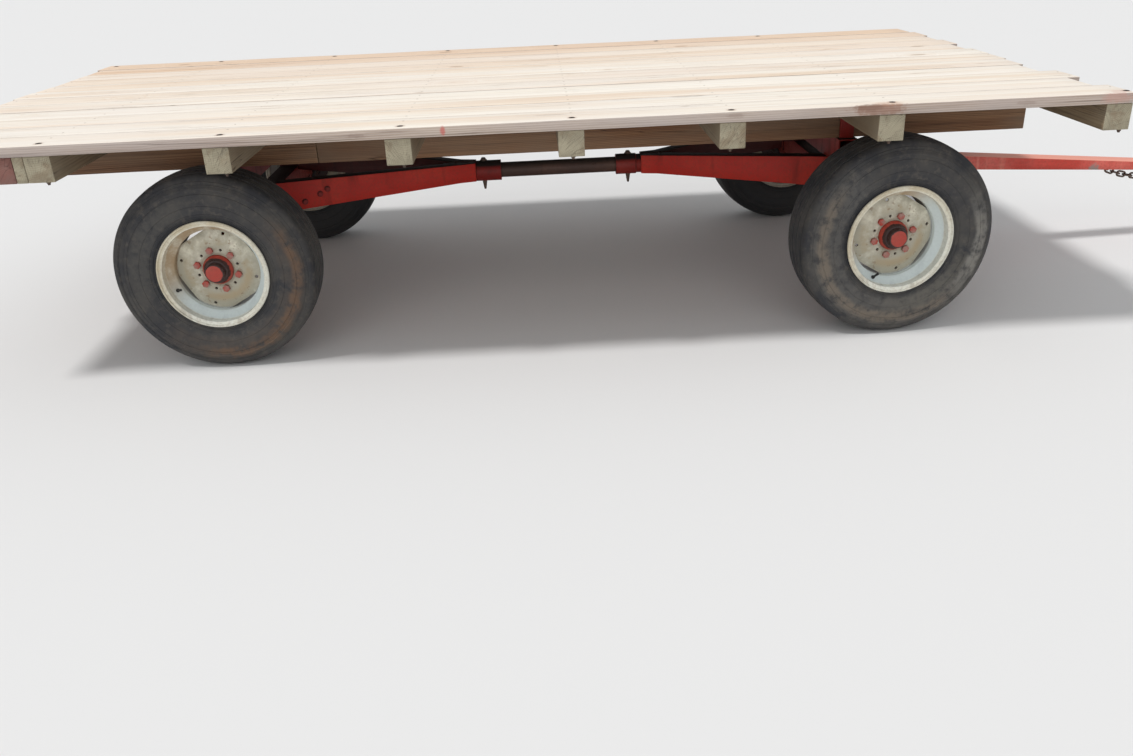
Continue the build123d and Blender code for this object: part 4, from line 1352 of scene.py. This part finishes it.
def gearBeads():
    forward, left = Vector((1, 0, 0)), Vector((0, 1, 0))
    middle = weld["sleeveMiddle"]
    places = {"root": []}
    for x in weld["sleeveRings"]:
        places["root"] += arcOfBeads((x, 0, middle), left, up, weld["sleeveRadius"])
    for start, end in weld["noseLines"]:
        for y in (-weld["noseAside"], weld["noseAside"]):
            for lift in (-weld["noseUp"], weld["noseUp"]):
                places["root"] += lineOfBeads(start, end, y, middle + lift)
    for start, end in weld["postLines"]:
        for y in [side * out for side in (-1, 1) for out in weld["postSides"]]:
            for z in weld["postLevels"]:
                places["root"] += lineOfBeads(start, end, y, z)
    for corner in corners:
        matrix = wheelMatrix(corner)
        ring = arcOfBeads((0, weld["spindleDepth"], 0), forward, up, weld["spindleRadius"])
        body = "root" if corner.startswith("rear") else "knuckle_" + corner.split("_")[1]
        places.setdefault(body, []).extend([matrix @ place for place in ring])
        for quarter in range(4):
            turn = 90 * quarter + weld["lobesTurned"][corner]
            lobe = arcOfBeads((0, weld["discDepth"], 0), up, forward, weld["discRadius"],
                              turn - weld["lobeHalf"], turn + weld["lobeHalf"])
            places.setdefault("wheel_" + corner, []).extend([matrix @ place for place in lobe])
    return places


def makeWelds():
    bead = makeBead()
    draw = random.Random(weld["seed"])
    for body, spots in gearBeads().items():
        matrices = []
        for spot in spots:
            size = 1 + draw.uniform(-1, 1) * weld["unevenness"]
            matrices.append(Matrix.Translation(spot) @ Matrix.Scale(size, 4))
        piece = stamp(bead, "weldBeads." + body, matrices)
        slot = "rim_cream" if body.startswith("wheel_") else "gear_red"
        if slot == "rim_cream":
            markWheel(piece, wheelMatrix(body.removeprefix("wheel_")))
        addDetail(piece, materials[slot], body)
    bpy.data.objects.remove(bead)


bpy.context.view_layer.update()
makeFasteners()
makeValves()
makeChain()
makeWelds()
print("bolts, nails, valves, chain and welds made")


def addCamera():
    data = bpy.data.cameras.new("viewCamera")
    data.lens = view["lens"]
    data.sensor_width = view["sensor"]
    data.clip_end = view["clipEnd"]
    camera = bpy.data.objects.new("viewCamera", data)
    bpy.context.scene.collection.objects.link(camera)
    tipped, turn, tilt = (math.radians(view[key]) for key in ("down", "turn", "tilt"))
    camera.matrix_world = (Matrix.Translation(view["place"]) @ Matrix.Rotation(turn, 4, "Z")
                           @ Matrix.Rotation(math.pi / 2 - tipped, 4, "X") @ Matrix.Rotation(-tilt, 4, "Z"))
    bpy.context.scene.camera = camera


def addLamp(name):
    data = bpy.data.lights.new(name + "Lamp", "SUN")
    data.energy = studio[name + "Power"]
    data.angle = math.radians(studio[name + "Spread"])
    lamp = bpy.data.objects.new(name + "Lamp", data)
    bpy.context.scene.collection.objects.link(lamp)
    lamp.rotation_euler = Vector(studio[name + "Way"]).to_track_quat("-Z", "Y").to_euler()


def addStudio():
    world = bpy.data.worlds.new("studioWorld")
    bpy.context.scene.world = world
    world.use_nodes = True
    background = world.node_tree.nodes["Background"]
    background.inputs["Color"].default_value = studio["skyColour"]
    background.inputs["Strength"].default_value = studio["skyLevel"]
    addLamp("key")
    addLamp("fill")
    bpy.ops.mesh.primitive_plane_add(size=studio["floorSize"], location=(0, 0, 0))
    floor = bpy.context.object
    floor.name = "studioFloor"
    material, net, shader = newMaterial("floorPlain")
    shader.inputs["Base Color"].default_value = studio["floorColour"]
    shader.inputs["Roughness"].default_value = studio["floorRoughness"]
    floor.data.materials.append(material)


addCamera()
addStudio()
bpy.context.scene.view_settings.view_transform = "Standard"
print("camera and studio ready")
